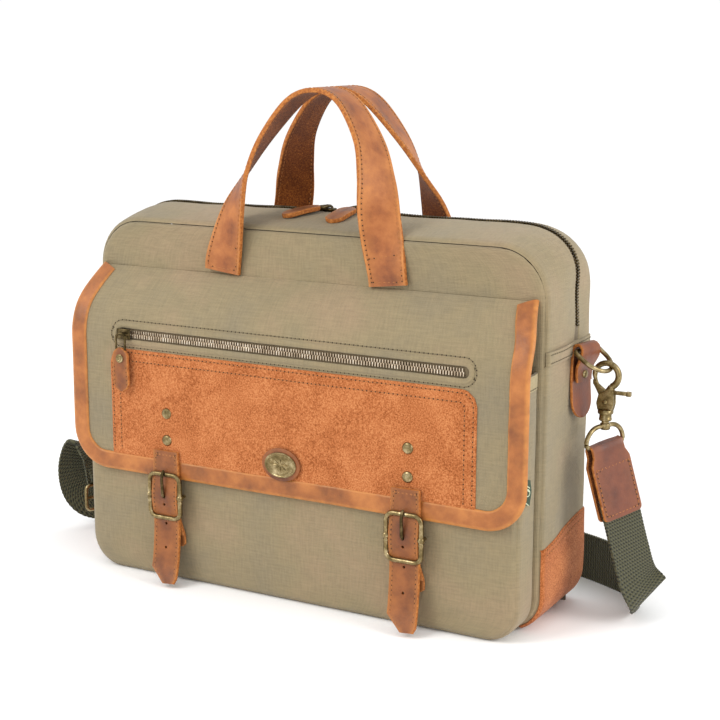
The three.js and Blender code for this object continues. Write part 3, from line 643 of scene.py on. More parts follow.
# %% Stitches
def stitches(name, spots, length=2.5 * MM, radius=0.36 * MM, sides=5, holes=True):
    """Short threads lying on a surface. A spot is a place, the way the thread runs and what is up."""
    points, faces, kinds = [], [], []
    rings = ((-0.5, 0.35, -0.6), (-0.3, 0.95, 0.15), (0.3, 0.95, 0.15), (0.5, 0.35, -0.6))
    for place, run, up in spots:
        side = run.cross(up).normalized()
        first = len(points)
        for along, size, lift in rings:
            centre = place + run * along * length + up * lift * radius
            for k in range(sides):
                turn = 2 * math.pi * k / sides
                points.append(centre + (side * math.cos(turn) + up * math.sin(turn)) * radius * size)
        for ring in range(len(rings) - 1):
            for k in range(sides):
                a = first + ring * sides + k
                b = first + ring * sides + (k + 1) % sides
                faces.append((a, b, b + sides, a + sides))
                kinds.append(0)
        faces.append(tuple(first + k for k in reversed(range(sides))))
        faces.append(tuple(first + (len(rings) - 1) * sides + k for k in range(sides)))
        kinds += [0, 0]
        # Each stitch end gets a small disc over a cone into the surface, in finish slot 1: painted shade of
        # the needle hole
        if holes:
            middle = place + run * 0.62 * length + up * 0.04 * MM
            first = len(points)
            for k in range(sides):
                turn = 2 * math.pi * k / sides
                points.append(middle + (side * math.cos(turn) + run * math.sin(turn)) * radius * 1.7)
            points.append(middle - up * radius)
            faces.append(tuple(first + k for k in range(sides)))
            kinds.append(1)
            faces += [(first + (k + 1) % sides, first + k, first + sides) for k in range(sides)]
            kinds += [1] * sides
    mesh = bpy.data.meshes.new(name)
    mesh.from_pydata(points, [], faces)
    empty_slots(mesh, 2)
    mesh.polygons.foreach_set("material_index", kinds)
    mesh.update()
    return mend(place_object(name, mesh))


def seam_spots(line, up, pitch=3.6 * MM, start=0.0, end=None):
    """Spots along a line; up is a direction or a rule that gives one for a point."""
    end = line.length if end is None else end
    count = max(1, int((end - start) / pitch))
    spots = []
    for k in range(count):
        s = start + (k + 0.5) * (end - start) / count
        place = line.point(s)
        spots.append((place, line.direction(s), up(place) if callable(up) else Vector(up)))
    return spots


# %% [markdown]
# ## Main body
# Two panels are sewn to a long gusset. Nothing inside keeps it stiff, so the panels crown a little
# and the gusset bulges between its seams, most of all along the top. The back panel folds at the
# height where the zip ends; here it is one fixed sheet that stands for both of the CAD's bodies.

# %% Sizes of the body
front_low, front_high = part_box("front_panel")
mouth_low, mouth_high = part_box("back_panel_upper")
SIDE = front_high.x
FRONT = front_low.y
BACK = mouth_high.y
PANEL_TOP = front_high.z
MOUTH = mouth_low.z
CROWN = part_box("mouth_gusset_front")[1].z - PANEL_TOP
zip_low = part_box("top_zip_front")[0].y
zip_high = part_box("top_zip_rear")[1].y
ZIP_Y = (zip_low + zip_high) / 2
TOP_RADIUS, BOTTOM_RADIUS = 40 * MM, 28 * MM
CLOTH = 1.6 * MM
print("body", round(SIDE * 2, 3), "wide,", round(BACK - FRONT, 3), "deep,", round(PANEL_TOP, 3), "high")

# %% Panels
body_pane = Pane(SIDE - SEAM_DEPTH, SEAM_DEPTH, PANEL_TOP - SEAM_DEPTH,
                 BOTTOM_RADIUS - SEAM_DEPTH, TOP_RADIUS - SEAM_DEPTH)


def body_panel(name, y, facing, crown):
    def place(a, z):
        x = a / body_pane.half * body_pane.half_at(z) * -facing
        inside = body_pane.depth_at(x, z)
        bulge = crown * fade(inside, 0, 50 * MM)
        uneven = ripple(x, z, 60 * MM, 1.3 * MM, facing * 3.0) * fade(inside, 0, 20 * MM)
        return Vector((x, y + facing * (bulge - rolled(inside) + uneven), z))

    along = stations(-body_pane.half, body_pane.half, 7 * MM)
    return thicken(sheet(name, along, stations(body_pane.low, body_pane.high, 6 * MM), place), CLOTH, True)


front_panel = body_panel("front_panel_canvas", FRONT, -1, 1.2 * MM)
settle(front_panel, [canvas, lining], "bag", ["front_panel"])
back_panel = body_panel("back_panel_canvas", BACK, 1, 1.5 * MM)
settle(back_panel, [canvas, lining], "bag", ["back_panel_lower", "back_panel_upper"],
       blend=("mouth", (0, BACK, MOUTH - 6 * MM), (0, BACK, MOUTH + 12 * MM)))

# %% [markdown]
# The gusset runs round the panels. Above the mouth it is two bands with the zip between them; the
# rear band is fixed in place, like the back panel, and its ends stay sewn to the side.

# %% Gusset
arch = outline([(-SIDE, MOUTH, 0), (-SIDE, PANEL_TOP, TOP_RADIUS), (SIDE, PANEL_TOP, TOP_RADIUS),
                (SIDE, MOUTH, 0)], arc=16)
trough = outline([(SIDE, MOUTH, 0), (SIDE, 0, BOTTOM_RADIUS), (-SIDE, 0, BOTTOM_RADIUS),
                  (-SIDE, MOUTH, 0)], arc=14)


def outward(line, s):
    """The way out of a body outlined clockwise, as seen from the front."""
    run = line.direction(s)
    return Vector((-run.z, 0, run.x))


def dome(s, y):
    """How far the upper gusset stands out from the panels' outline."""
    high = fade(arch.point(s).z, PANEL_TOP - TOP_RADIUS, PANEL_TOP)
    bulge = (CROWN + 1.5 * MM) * high + 1.2 * MM * (1 - high)
    side_folds = ripple(s, y, 34 * MM, 2.6 * MM, 7.0) * (1 - 0.6 * high)
    across = (ZIP_Y - y) / (ZIP_Y - FRONT) if y < ZIP_Y else (y - ZIP_Y) / (BACK - ZIP_Y)
    return (bulge + side_folds) * (1 - across ** (1.7 if y < ZIP_Y else 2.4))


def on_arch(s, y, lift=0.0):
    return arch.point(s) + Y * y + outward(arch, s) * (dome(s, y) + lift)


def upper_band(name, low, high):
    seam_at_front = low < 0

    def place(s, y):
        from_seam = y - low if seam_at_front else high - y
        from_zip = high - y if seam_at_front else y - low
        drop = rolled(from_seam) + rolled(from_zip, 0.7 * MM, 1.6 * MM)
        return on_arch(s, y, -drop)

    across = stations(low, high, 5 * MM, (0.5, 1.1, 2.0, 3.4))
    return thicken(sheet(name, stations(0, arch.length, 5 * MM, ()), across, place), CLOTH, True)


mouth_blend = ("mouth", (0, BACK, MOUTH), (0, BACK, MOUTH + 40 * MM))
front_band = upper_band("mouth_gusset_front_canvas", FRONT + SEAM_DEPTH, zip_low)
settle(front_band, [canvas, lining], "bag", ["mouth_gusset_front"])
rear_band = upper_band("mouth_gusset_rear_canvas", zip_high, BACK - SEAM_DEPTH)
settle(rear_band, [canvas, lining], "bag", ["mouth_gusset_rear"], blend=mouth_blend)


def on_trough(s, y, lift=0.0):
    place = trough.point(s)
    high = fade(place.z, 0, BOTTOM_RADIUS * 1.5)
    quiet = 1 - 0.75 * fade(place.z, 140 * MM, 165 * MM) * (1 - fade(place.z, 205 * MM, 212 * MM))
    bulge = (0.5 * MM + ripple(s, y, 38 * MM, 2.6 * MM, 5.0) * quiet) * high
    return place + Y * y + outward(trough, s) * (bulge * (1 - abs(y / BACK) ** 2.4) + lift)


def lower_place(s, y):
    drop = rolled(y - FRONT - SEAM_DEPTH) + rolled(BACK - SEAM_DEPTH - y)
    return on_trough(s, y, -drop)


lower_band = thicken(
    sheet("lower_gusset_canvas", stations(0, trough.length, 5 * MM, ()),
          stations(FRONT + SEAM_DEPTH, BACK - SEAM_DEPTH, 5 * MM), lower_place), CLOTH, True)
settle(lower_band, [canvas, lining], "bag",
       ["bottom_panel", "side_gusset_left", "side_gusset_right"])
print("gusset", round(arch.length + trough.length, 3), "m round")

# %% [markdown]
# The two gusset parts meet in a lapped seam on each side: the upper one turned under over the
# lower one and stitched twice.

# %% Lapped seams on the sides
LAP = 11 * MM
for side, name in ((1, "right"), (-1, "left")):
    start = 0 if side > 0 else trough.length - LAP

    def lap_place(s, y):
        edge = s - start if side < 0 else start + LAP - s
        return on_trough(s, y, 1.5 * MM - rolled(edge, 1.3 * MM, 1.6 * MM) - rolled(y - FRONT - SEAM_DEPTH)
                         - rolled(BACK - SEAM_DEPTH - y))

    lap = sheet(f"gusset_lap_{name}", stations(start, start + LAP, 2 * MM, (0.4, 0.9, 1.6)),
                stations(FRONT + SEAM_DEPTH, BACK - SEAM_DEPTH, 5 * MM), lap_place)
    settle(thicken(lap, 1.0 * MM), [canvas], "bag")
    rows = []
    for inset in (2.2 * MM, 8.4 * MM):
        s = inset if side > 0 else trough.length - inset
        rows += seam_spots(Line([on_trough(s, y * MM, 1.6 * MM) for y in range(-40, 41, 4)]), X * side)
    settle(stitches(f"gusset_lap_stitches_{name}", rows), [olive_thread, painted_hole_shade], "bag")

# %% [markdown]
# ### Top zip
# A metal zip has two rows of teeth, each crimped to the edge of a woven tape. A tooth is modelled
# once as a small block with its top edges worn round, and repeated along the line.

# %% Zip teeth
def teeth(name, line, up, inwards, pitch, size, start, end, offset=0.0):
    """Rounded blocks along a line. Size is along, across and high; inwards points to the other row."""
    points, faces = [], []
    count = int((end - start) / pitch)
    long, wide, high = size
    ring = ((-0.5, 0), (-0.5, 0.7), (-0.3, 1), (0.3, 1), (0.5, 0.7), (0.5, 0))
    for k in range(count):
        s = start + (k + 0.5 + offset) * pitch
        run = line.direction(s)
        top = up(s)
        side = inwards(s)
        foot = line.point(s)
        first = len(points)
        for reach in (0, 0.8, 1):
            for a, h in ring:
                narrow = 1 if reach < 1 else 0.7
                points.append(foot + side * reach * wide + run * a * long * narrow + top * h * high * narrow)
        for r in range(2):
            for j in range(5):
                a = first + r * 6 + j
                faces.append((a, a + 1, a + 7, a + 6))
        faces.append(tuple(first + j for j in reversed(range(6))))
        faces.append(tuple(first + 12 + j for j in range(6)))
        faces.append((first, first + 6, first + 11, first + 5))
        faces.append((first + 6, first + 12, first + 17, first + 11))
    mesh = bpy.data.meshes.new(name)
    mesh.from_pydata(points, [], faces)
    return mend(place_object(name, mesh))


TAPE_DROP = 0.5 * MM
TOOTH_PITCH = 2.3 * MM
for name, low, high, stands_for, blend in (
    ("front", zip_low - 1.5 * MM, ZIP_Y - 0.2 * MM, "top_zip_front", None),
    ("rear", ZIP_Y + 0.2 * MM, zip_high + 1.5 * MM, "top_zip_rear", mouth_blend),
):
    tape = sheet(f"top_zip_tape_{name}", stations(0, arch.length, 6 * MM, ()),
                 stations(low, high, 2 * MM, ()), lambda s, y: on_arch(s, y, -TAPE_DROP))
    settle(thicken(tape, 0.7 * MM), [zip_tape], "bag", [stands_for], blend=blend)
    root = ZIP_Y + (-1 if name == "front" else 1) * 2.7 * MM
    foot = Line([on_arch(s * 3 * MM, root, -TAPE_DROP) for s in range(int(arch.length / (3 * MM)))])
    inward = Y * (1 if name == "front" else -1)
    row = teeth(f"top_zip_teeth_{name}", foot, lambda s: outward(foot, s), lambda s: inward,
                TOOTH_PITCH, (1.3 * MM, 2.9 * MM, 1.5 * MM), 6 * MM, foot.length - 6 * MM,
                0.0 if name == "front" else 0.5)
    settle(row, [dark_brass], "bag", blend=blend)
print("zip", round(arch.length, 3), "m long")

# %% [markdown]
# ## Front pocket
# A box pocket: a panel and a narrow gusset under the flap. Its top is open, with a turned hem, and
# its lower corners are soft, so they pucker.

# %% Pocket
pocket_low, pocket_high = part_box("pocket_panel")
POCKET_SIDE, POCKET_TOP, POCKET_FRONT = pocket_high.x, pocket_high.z, pocket_low.y
POCKET_RADIUS = 26 * MM
pocket_pane = Pane(POCKET_SIDE - SEAM_DEPTH, SEAM_DEPTH, POCKET_TOP, POCKET_RADIUS - SEAM_DEPTH, 0)


def pocket_place(a, z):
    x = a / pocket_pane.half * pocket_pane.half_at(z)
    inside = min(pocket_pane.depth_at(x, min(z, POCKET_TOP / 2)), pocket_pane.half - abs(x))
    bulge = 1.6 * MM * fade(inside, 0, 45 * MM)
    low_fold = ripple(x, z * 2.5, 26 * MM, 1.8 * MM, 2.0) * (1 - fade(z, 8 * MM, 42 * MM))
    uneven = ripple(x, z, 55 * MM, 1.2 * MM, 9.0) + low_fold
    return Vector((x, POCKET_FRONT - bulge + rolled(inside) - uneven * fade(inside, 0, 12 * MM), z))


pocket = sheet("pocket_panel_canvas", stations(-pocket_pane.half, pocket_pane.half, 6 * MM),
               stations(pocket_pane.low, pocket_pane.high, 5 * MM), pocket_place)
settle(thicken(pocket, CLOTH, True), [canvas, lining], "bag", ["pocket_panel"])

pocket_rim = outline([(POCKET_SIDE, POCKET_TOP, 0), (POCKET_SIDE, 0, POCKET_RADIUS),
                      (-POCKET_SIDE, 0, POCKET_RADIUS), (-POCKET_SIDE, POCKET_TOP, 0)], arc=12)
pocket_near, pocket_far = POCKET_FRONT + SEAM_DEPTH, FRONT - 0.2 * MM


def on_pocket_side(s, y, lift=0.0):
    place = pocket_rim.point(s)
    middle = (pocket_near + pocket_far) / 2
    swell = 1 - abs((y - middle) / (pocket_far - middle)) ** 2
    bulge = (1.0 * MM + ripple(s, y, 22 * MM, 1.6 * MM, 4.0)) * swell * fade(place.z, 0, 30 * MM)
    drop = rolled(y - pocket_near) + rolled(pocket_far - y, 1.2 * MM, 2.5 * MM)
    return place + Y * y + outward(pocket_rim, s) * (bulge - drop + lift)


pocket_gusset = sheet("pocket_gusset_canvas", stations(0, pocket_rim.length, 5 * MM, ()),
                      stations(pocket_near, pocket_far, 4 * MM, (0.8, 1.8, 3.0)), on_pocket_side)
settle(thicken(pocket_gusset, CLOTH, True), [canvas, lining], "bag", ["pocket_gusset"])

# %% Pocket hem
HEM = 12 * MM
hem_rows = []
for side, name in ((1, "right"), (-1, "left")):
    start = 0 if side > 0 else pocket_rim.length - HEM

    def hem_place(s, y):
        edge = start + HEM - s if side > 0 else s - start
        return on_pocket_side(s, y, 1.1 * MM - rolled(edge, 0.9 * MM, 1.2 * MM))

    hem = sheet(f"pocket_hem_{name}", stations(start, start + HEM, 3 * MM, (0.4, 1.0)),
                stations(pocket_near, pocket_far, 4 * MM, ()), hem_place)
    settle(thicken(hem, 0.8 * MM), [canvas_hem], "bag")
    s = HEM - 2 * MM if side > 0 else pocket_rim.length - HEM + 2 * MM
    row = Line([on_pocket_side(s, y * MM, 1.2 * MM) for y in range(-70, -46, 3)])
    hem_rows += seam_spots(row, X * side)


def pocket_face(x, z, lift):
    return pocket_place(x, z) - Y * lift


hem_line = Line([pocket_face(x * MM, POCKET_TOP - HEM, 0.1 * MM) for x in range(-186, 187, 6)])
hem_rows += seam_spots(hem_line, -Y)
settle(stitches("pocket_hem_stitches", hem_rows), [olive_thread, painted_hole_shade], "bag")
print("pocket", round(2 * POCKET_SIDE, 3), "wide,", round(POCKET_TOP, 3), "high")


# %% [markdown]
# ## Flap
# A canvas flap with a leather binding folded over its edge. It leaves its seam sloping out, rounds
# over the top of the pocket and hangs straight. Everything sewn or riveted to it is placed by one
# rule, which takes a place on the flap, seen from the front, and a height above its face.

# %% The flap's surface
binding_low, binding_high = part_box("flap_binding")
FLAP_SIDE, FLAP_LOW, FLAP_FACE = binding_high.x, binding_low.z, binding_low.y + 1.6 * MM
FLAP_TOP = 251.5 * MM
FLAP_BEND = 197 * MM
FLAP_SEAM = FRONT - 1.6 * MM
FLAP_RADIUS = 32 * MM


def flap_depth(z):
    rise = min(max((z - FLAP_BEND) / (FLAP_TOP - FLAP_BEND), 0.0), 1.02)
    return FLAP_FACE + (FLAP_SEAM - FLAP_FACE) * rise ** 1.9


def flap_normal(z):
    slope = (flap_depth(z + MM) - flap_depth(z - MM)) / (2 * MM)
    return Vector((0, -1, slope)).normalized()


def on_flap(x, z, lift=0.0):
    wave = ripple(x, z, 75 * MM, 1.0 * MM, 11.0) * fade(FLAP_TOP - z, 0, 25 * MM)
    return Vector((x, flap_depth(z), z)) + flap_normal(z) * (lift + wave)


def flap_up(place):
    return flap_normal(place.z)


# %% Flap canvas with its zip window
zip_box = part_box("flap_zip")
WINDOW_Z = (zip_box[0].z + zip_box[1].z) / 2
WINDOW_HALF = zip_box[1].x
WINDOW_RISE = 7.2 * MM
flap_pane = Pane(FLAP_SIDE - 1.5 * MM, FLAP_LOW + 1.5 * MM, FLAP_TOP, FLAP_RADIUS - 1.5 * MM, 0)
FLAP_NARROWING = 9 * MM


def in_window(x, z, rise=WINDOW_RISE):
    aside = max(abs(x) - (WINDOW_HALF - rise), 0.0)
    return math.hypot(aside, z - WINDOW_Z) < rise


flap_canvas = sheet(
    "flap_canvas", stations(-flap_pane.half, flap_pane.half, 5 * MM, ()),
    stations(flap_pane.low, flap_pane.high, 3 * MM, ()),
    lambda a, z: on_flap(
        a / flap_pane.half * (flap_pane.half_at(z) - FLAP_NARROWING * fade(z, 220 * MM, 252 * MM)), z))
only(flap_canvas)
bpy.ops.object.mode_set(mode="EDIT")
bpy.ops.mesh.select_mode(type="FACE")
bpy.ops.mesh.select_all(action="DESELECT")
bpy.ops.object.mode_set(mode="OBJECT")
for face in flap_canvas.data.polygons:
    face.select = in_window(face.center.x, face.center.z)
bpy.ops.object.mode_set(mode="EDIT")
bpy.ops.mesh.delete(type="FACE")
bpy.ops.object.mode_set(mode="OBJECT")
settle(thicken(flap_canvas, 1.5 * MM, True), [canvas, lining], "flap", ["flap_panel"])


# %% Window lips: the canvas is turned under round the zip
def window_line(rise, lift, half=WINDOW_HALF):
    corners = [(-half, WINDOW_Z - rise, rise * 0.98), (-half, WINDOW_Z + rise, rise * 0.98),
               (half, WINDOW_Z + rise, rise * 0.98), (half, WINDOW_Z - rise, rise * 0.98)]
    flat = outline(corners, closed=True, arc=8)
    count = int(flat.length / (3 * MM))
    places = [flat.point(flat.length * k / count) for k in range(count + 1)]
    return Line([on_flap(p.x, p.z, lift) for p in places])


def lip_place(s, b):
    """A rounded fold round the window; b runs over the fold, from its outside to its inside."""
    place = lip_line.point(s)
    up = flap_normal(place.z)
    out = lip_line.direction(s).cross(up).normalized()
    turn = b / LIP_RADIUS
    return place + out * (-LIP_RADIUS * math.cos(turn) * 1.5) + up * (1.3 * MM * math.sin(turn))


LIP_RADIUS = 1.6 * MM
lip_line = window_line(WINDOW_RISE - 0.5 * MM, -0.5 * MM, WINDOW_HALF - 0.5 * MM)
lip = sheet("window_lip", stations(0, lip_line.length, 3 * MM, ()),
            [LIP_RADIUS * math.pi * k / 8 for k in range(9)], lip_place)
mend(lip, 0.2 * MM)
settle(thicken(lip, 0.5 * MM), [canvas], "flap")

window_rows = seam_spots(window_line(WINDOW_RISE + 3.4 * MM, 0.1 * MM, WINDOW_HALF + 3.0 * MM), flap_up)
settle(stitches("window_stitches", window_rows), [olive_thread, painted_hole_shade], "flap")

# %% Flap zip
flap_tape = sheet("flap_zip_tape", stations(-WINDOW_HALF + 2 * MM, WINDOW_HALF - 2 * MM, 6 * MM, ()),
                  stations(WINDOW_Z - WINDOW_RISE, WINDOW_Z + WINDOW_RISE, 3 * MM, ()),
                  lambda x, z: on_flap(x, z, -1.9 * MM))
settle(thicken(flap_tape, 0.7 * MM), [zip_tape], "flap", ["flap_zip"])
slider_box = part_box("flap_slider")
for side, name in ((1, "upper"), (-1, "lower")):
    root = Line([on_flap(x * 4 * MM, WINDOW_Z + side * 3.0 * MM, -1.9 * MM)
                 for x in range(int(slider_box[0].x / (4 * MM)), int(WINDOW_HALF / (4 * MM)))])
    row = teeth(f"flap_zip_teeth_{name}", root, lambda s: flap_normal(WINDOW_Z), lambda s: Z * -side,
                TOOTH_PITCH, (1.35 * MM, 3.2 * MM, 1.7 * MM), 2 * MM, root.length, 0.0 if side > 0 else 0.5)
    settle(row, [zip_metal], "flap")


# %% Leather binding
SHOULDER_Z = 226 * MM
flap_rim = outline([
    (FLAP_SIDE - FLAP_NARROWING, FLAP_TOP + 1 * MM, 0), (FLAP_SIDE, SHOULDER_Z, 60 * MM),
    (FLAP_SIDE, FLAP_LOW, FLAP_RADIUS), (-FLAP_SIDE, FLAP_LOW, FLAP_RADIUS),
    (-FLAP_SIDE, SHOULDER_Z, 60 * MM), (FLAP_NARROWING - FLAP_SIDE, FLAP_TOP + 1 * MM, 0),
], arc=16)
# Across the binding: how far inside the rim, and how high above the canvas
BINDING_SECTION = [(14.0, 0.1), (13.7, 1.0), (12.6, 1.35), (10.8, 1.15), (7.0, 1.45), (3.0, 1.35), (1.1, 1.0),
                   (0.2, 0.2), (0.0, -0.7), (0.5, -1.9), (2.0, -2.7), (7.0, -2.9), (12.6, -2.8), (13.0, -2.0)]


def binding_place(s, b):
    k = min(int(b / MM + 0.5), len(BINDING_SECTION) - 1)
    inside, lift = BINDING_SECTION[k]
    wander = 0.35 * MM * noise.noise(Vector((s / 0.02, 5.0, 0))) if k < 4 else 0
    out = outward(flap_rim, s)
    place = flap_rim.point(s) - out * (inside * MM + wander)
    return on_flap(place.x, place.z, lift * MM)


binding = sheet("flap_binding_leather", stations(0, flap_rim.length, 4 * MM, ()),
                [k * MM for k in range(len(BINDING_SECTION))], binding_place)
wear = binding.data.attributes.new("wear", "FLOAT", "POINT")
count = len(stations(0, flap_rim.length, 4 * MM, ()))
for k in range(len(binding.data.vertices)):
    wear.data[k].value = 1.0 if k // count in (0, 1, 6, 7, 8) else 0.25
only(binding)
bpy.ops.object.mode_set(mode="EDIT")
bpy.ops.mesh.select_all(action="SELECT")
bpy.ops.mesh.flip_normals()
bpy.ops.object.mode_set(mode="OBJECT")
settle(thicken(binding, 0.6 * MM), [tan_leather], "flap", ["flap_binding"], angle=60)


def rim_line(inset, lift, start, end):
    """A line on the flap at a distance inside its rim."""
    count = int((end - start) / (4 * MM))
    made = []
    for k in range(count + 1):
        s = start + (end - start) * k / count
        p = flap_rim.point(s) - outward(flap_rim, s) * inset
        made.append(on_flap(p.x, p.z, lift))
    return Line(made)


binding_seam = rim_line(10.9 * MM, 1.2 * MM, 8 * MM, flap_rim.length - 8 * MM)
settle(stitches("binding_stitches", seam_spots(binding_seam, flap_up)), [tan_thread, painted_hole_shade], "flap")
print("binding", round(flap_rim.length, 3), "m of edge")

# %% Suede patch
suede_low, suede_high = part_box("suede_patch")
SUEDE_LIFT = 1.3 * MM
suede_pane = Pane(suede_high.x, suede_low.z, suede_high.z, 0, 13 * MM)


def suede_place(a, z):
    x = a / suede_pane.half * suede_pane.half_at(z)
    inside = min(suede_pane.depth_at(x, z), 60 * MM) if z > 150 * MM else suede_pane.half - abs(x)
    return on_flap(x, z, SUEDE_LIFT - rolled(inside, 1.0 * MM, 1.4 * MM))


patch = sheet("suede_patch_hide", stations(-suede_pane.half, suede_pane.half, 6 * MM, (0.4, 0.9, 1.6)),
              stations(suede_pane.low, suede_pane.high, 6 * MM, (0.4, 0.9, 1.6)), suede_place)
settle(thicken(patch, 1.0 * MM), [suede], "flap", ["suede_patch"])
suede_rows = []
for inset in (2.6 * MM, 9.5 * MM):
    half, top = suede_pane.half - inset, suede_pane.high - inset
    flat = outline([(-half, suede_low.z + 3 * MM, 0), (-half, top, max(13 * MM - inset, 4 * MM)),
                    (half, top, max(13 * MM - inset, 4 * MM)), (half, suede_low.z + 3 * MM, 0)])
    steps = int(flat.length / (4 * MM))
    places = [flat.point(flat.length * k / steps) for k in range(steps + 1)]
    suede_rows += seam_spots(Line([on_flap(p.x, p.z, SUEDE_LIFT + 0.1 * MM) for p in places]), flap_up)
settle(stitches("suede_stitches", suede_rows), [tan_thread, painted_hole_shade], "flap")
print("suede patch", round(2 * suede_pane.half, 3), "wide")


# %% [markdown]
# ## Straps
# A strap is a flat section swept along a line. The section has slightly rounded edges, a dip where
# it is stitched and a raised middle, and three finishes: the face, the cut edge and the back. Its
# two outlines may move in or out along the way, which shapes tongues, shoulders and slanted tips.

# %% A strap along a line
def strap(name, line, edges, thickness, step=3 * MM, dip=0.25 * MM, inset=3 * MM, extra=()):
    """edges(s) gives the left and right edge from the line. The face is on the across x along side."""
    places = sorted(set([round(k * line.length / max(2, round(line.length / step)), 6)
                         for k in range(max(2, round(line.length / step)) + 1)] + list(extra)))
    half, cut = thickness / 2, min(0.35 * thickness, 0.6 * MM)
    rows, wears = [], []
    for s in places:
        left, right = edges(s)
        wide = right - left
        gap = min(inset, wide * 0.3)
        section = [
            (left + cut, half, 1.0), (left + gap, half - dip, 0.35),
            (left + wide * 0.36, half + dip * 0.6, 0.0), (left + wide * 0.64, half + dip * 0.6, 0.0),
            (right - gap, half - dip, 0.35), (right - cut, half, 1.0),
            (right, half - cut, 1.0), (right, cut - half, 1.0),
            (right - cut, -half, 1.0), (left + wide * 0.5, -half, 0.0), (left + cut, -half, 1.0),
            (left, cut - half, 1.0), (left, half - cut, 1.0),
        ]
        side = line.side(s)
        up = side.cross(line.direction(s)).normalized()
        centre = line.point(s)
        rows.append([centre + side * a + up * b for a, b, w in section])
        wears += [w for a, b, w in section]
    around = len(rows[0])
    mesh = bpy.data.meshes.new(name)
    faces, kinds, maps = [], [], []
    for row in range(len(rows) - 1):
        for k in range(around):
            after = (k + 1) % around
            a, b = row * around + k, row * around + after
            faces.append((a, b, b + around, a + around))
            kinds.append(0 if k < 5 else 1 if k < 8 or k > 9 else 2)
            left, right = k * 4 * MM, (k + 1) * 4 * MM
            low, high = places[row], places[row + 1]
            maps += [(left, low), (right, low), (right, high), (left, high)]
    for first, order in ((0, reversed(range(around))), ((len(rows) - 1) * around, range(around))):
        cap = [first + k for k in order]
        faces.append(tuple(cap))
        kinds.append(1)
        maps += [(0.002 * k, 0.0) for k in range(around)]
    mesh.from_pydata([p for row in rows for p in row], [], faces)
    empty_slots(mesh, 3)
    mesh.polygons.foreach_set("material_index", kinds)
    layer = mesh.uv_layers.new(name="cloth")
    for k, place in enumerate(maps):
        layer.data[k].uv = place
    attribute = mesh.attributes.new("wear", "FLOAT", "POINT")
    attribute.data.foreach_set("value", wears)
    return mend(place_object(name, mesh), 0.02 * MM)


def leather_parts(face, back):
    return [face, leather_edge, back]


def strap_spots(line, aside, lift, start, end, pitch=3.6 * MM, back=False):
    """Stitches along a strap; aside is a distance from its line, or a rule for it."""
    spots = []
    count = max(1, int((end - start) / pitch))
    for k in range(count):
        s = start + (k + 0.5) * (end - start) / count
        side, run = line.side(s), line.direction(s)
        up = side.cross(run).normalized() * (-1 if back else 1)
        off = aside(s) if callable(aside) else aside
        spots.append((line.point(s) + side * off + up * lift, run, up))
    return spots


# %% [markdown]
# ## Carry handles
# Each handle is one strap, doubled and stitched along both edges. Its feet lie flat on the panel
# and are sewn down; above them it leans inwards and turns, so that its face is up in the hand.

# %% Handles
handle_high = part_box("front_handle")[1]
HANDLE_WIDTH, HANDLE_THICK = 32 * MM, 3.6 * MM
HANDLE_SPAN = handle_high.x - HANDLE_WIDTH / 2
HANDLE_FOOT, HANDLE_RISE = 258 * MM, 138 * MM
FOOT_Y, TOP_Y = -FRONT + 3.6 * MM, 17.5 * MM
# Reach from the middle, height, lean inwards and turn, each as a share of its whole
HANDLE_STATIONS = [(1, -0.03, 0, 0), (0.975, 0.07, 0.0, 0.02), (0.87, 0.34, 0.1, 0.34),
                   (0.78, 0.53, 0.36, 0.66), (0.62, 0.73, 0.7, 0.86), (0.31, 0.94, 0.95, 0.98)]
# Two heights just above a handle's feet
FOOT_FIXED, FOOT_FREE = 262 * MM, 285 * MM


def handle_line(facing):
    rows = []
    for end, order in ((-1, HANDLE_STATIONS), (0, [(0, 1, 1, 1)]), (1, HANDLE_STATIONS[::-1])):
        for reach, height, lean, turn in order:
            angle = turn * math.pi / 2
            y = FOOT_Y + (TOP_Y - FOOT_Y) * lean
            rows.append((end * reach * HANDLE_SPAN * 0.99, facing * y, HANDLE_FOOT + height * HANDLE_RISE,
                         (end or 1) * facing * math.cos(angle), -math.sin(angle), 0))
    return smooth_line(rows)


for facing, name, base in ((-1, "front", "bag"), (1, "back", "mouth")):
    line = handle_line(facing)
    half = HANDLE_WIDTH / 2
    body = strap(f"{name}_handle_leather", line, lambda s: (-half, half), HANDLE_THICK, 4 * MM)
    foot_blend = (f"{name}_handle", (0, facing * FOOT_Y, FOOT_FIXED), (0, facing * FOOT_Y, FOOT_FREE))
    settle(body, leather_parts(tan_leather, flesh_side), base, [f"{name}_handle"],
           blend=foot_blend)
    rows = []
    for aside in (-half + 3 * MM, half - 3 * MM):
        for back in (False, True):
            rows += strap_spots(line, aside, HANDLE_THICK / 2 - 0.15 * MM, 3 * MM, line.length - 3 * MM,
                                back=back)
    for start in (3 * MM, 22 * MM, line.length - 3 * MM, line.length - 22 * MM):
        ends = [line.point(start) + line.side(start) * a for a in (-half + 4 * MM, half - 4 * MM)]
        rows += seam_spots(Line([e + Y * facing * (HANDLE_THICK / 2 - 0.05 * MM) for e in ends]), Y * facing)
    settle(stitches(f"{name}_handle_stitches", rows), [tan_thread, painted_hole_shade], base, blend=foot_blend)
    print(name, "handle", round(line.length, 3), "m of strap")

# %% [markdown]
# ## Metal parts
# Castings and bent wire are shaped three ways: a profile turned about an axis, a rod carried along
# a line, and a block with its edges rounded.

# %% Turned, bent and rounded metal
def frame_of(axis):
    """A turn that carries +Z to an axis."""
    return Vector(axis).normalized().to_track_quat("Z", "Y").to_matrix().to_4x4()


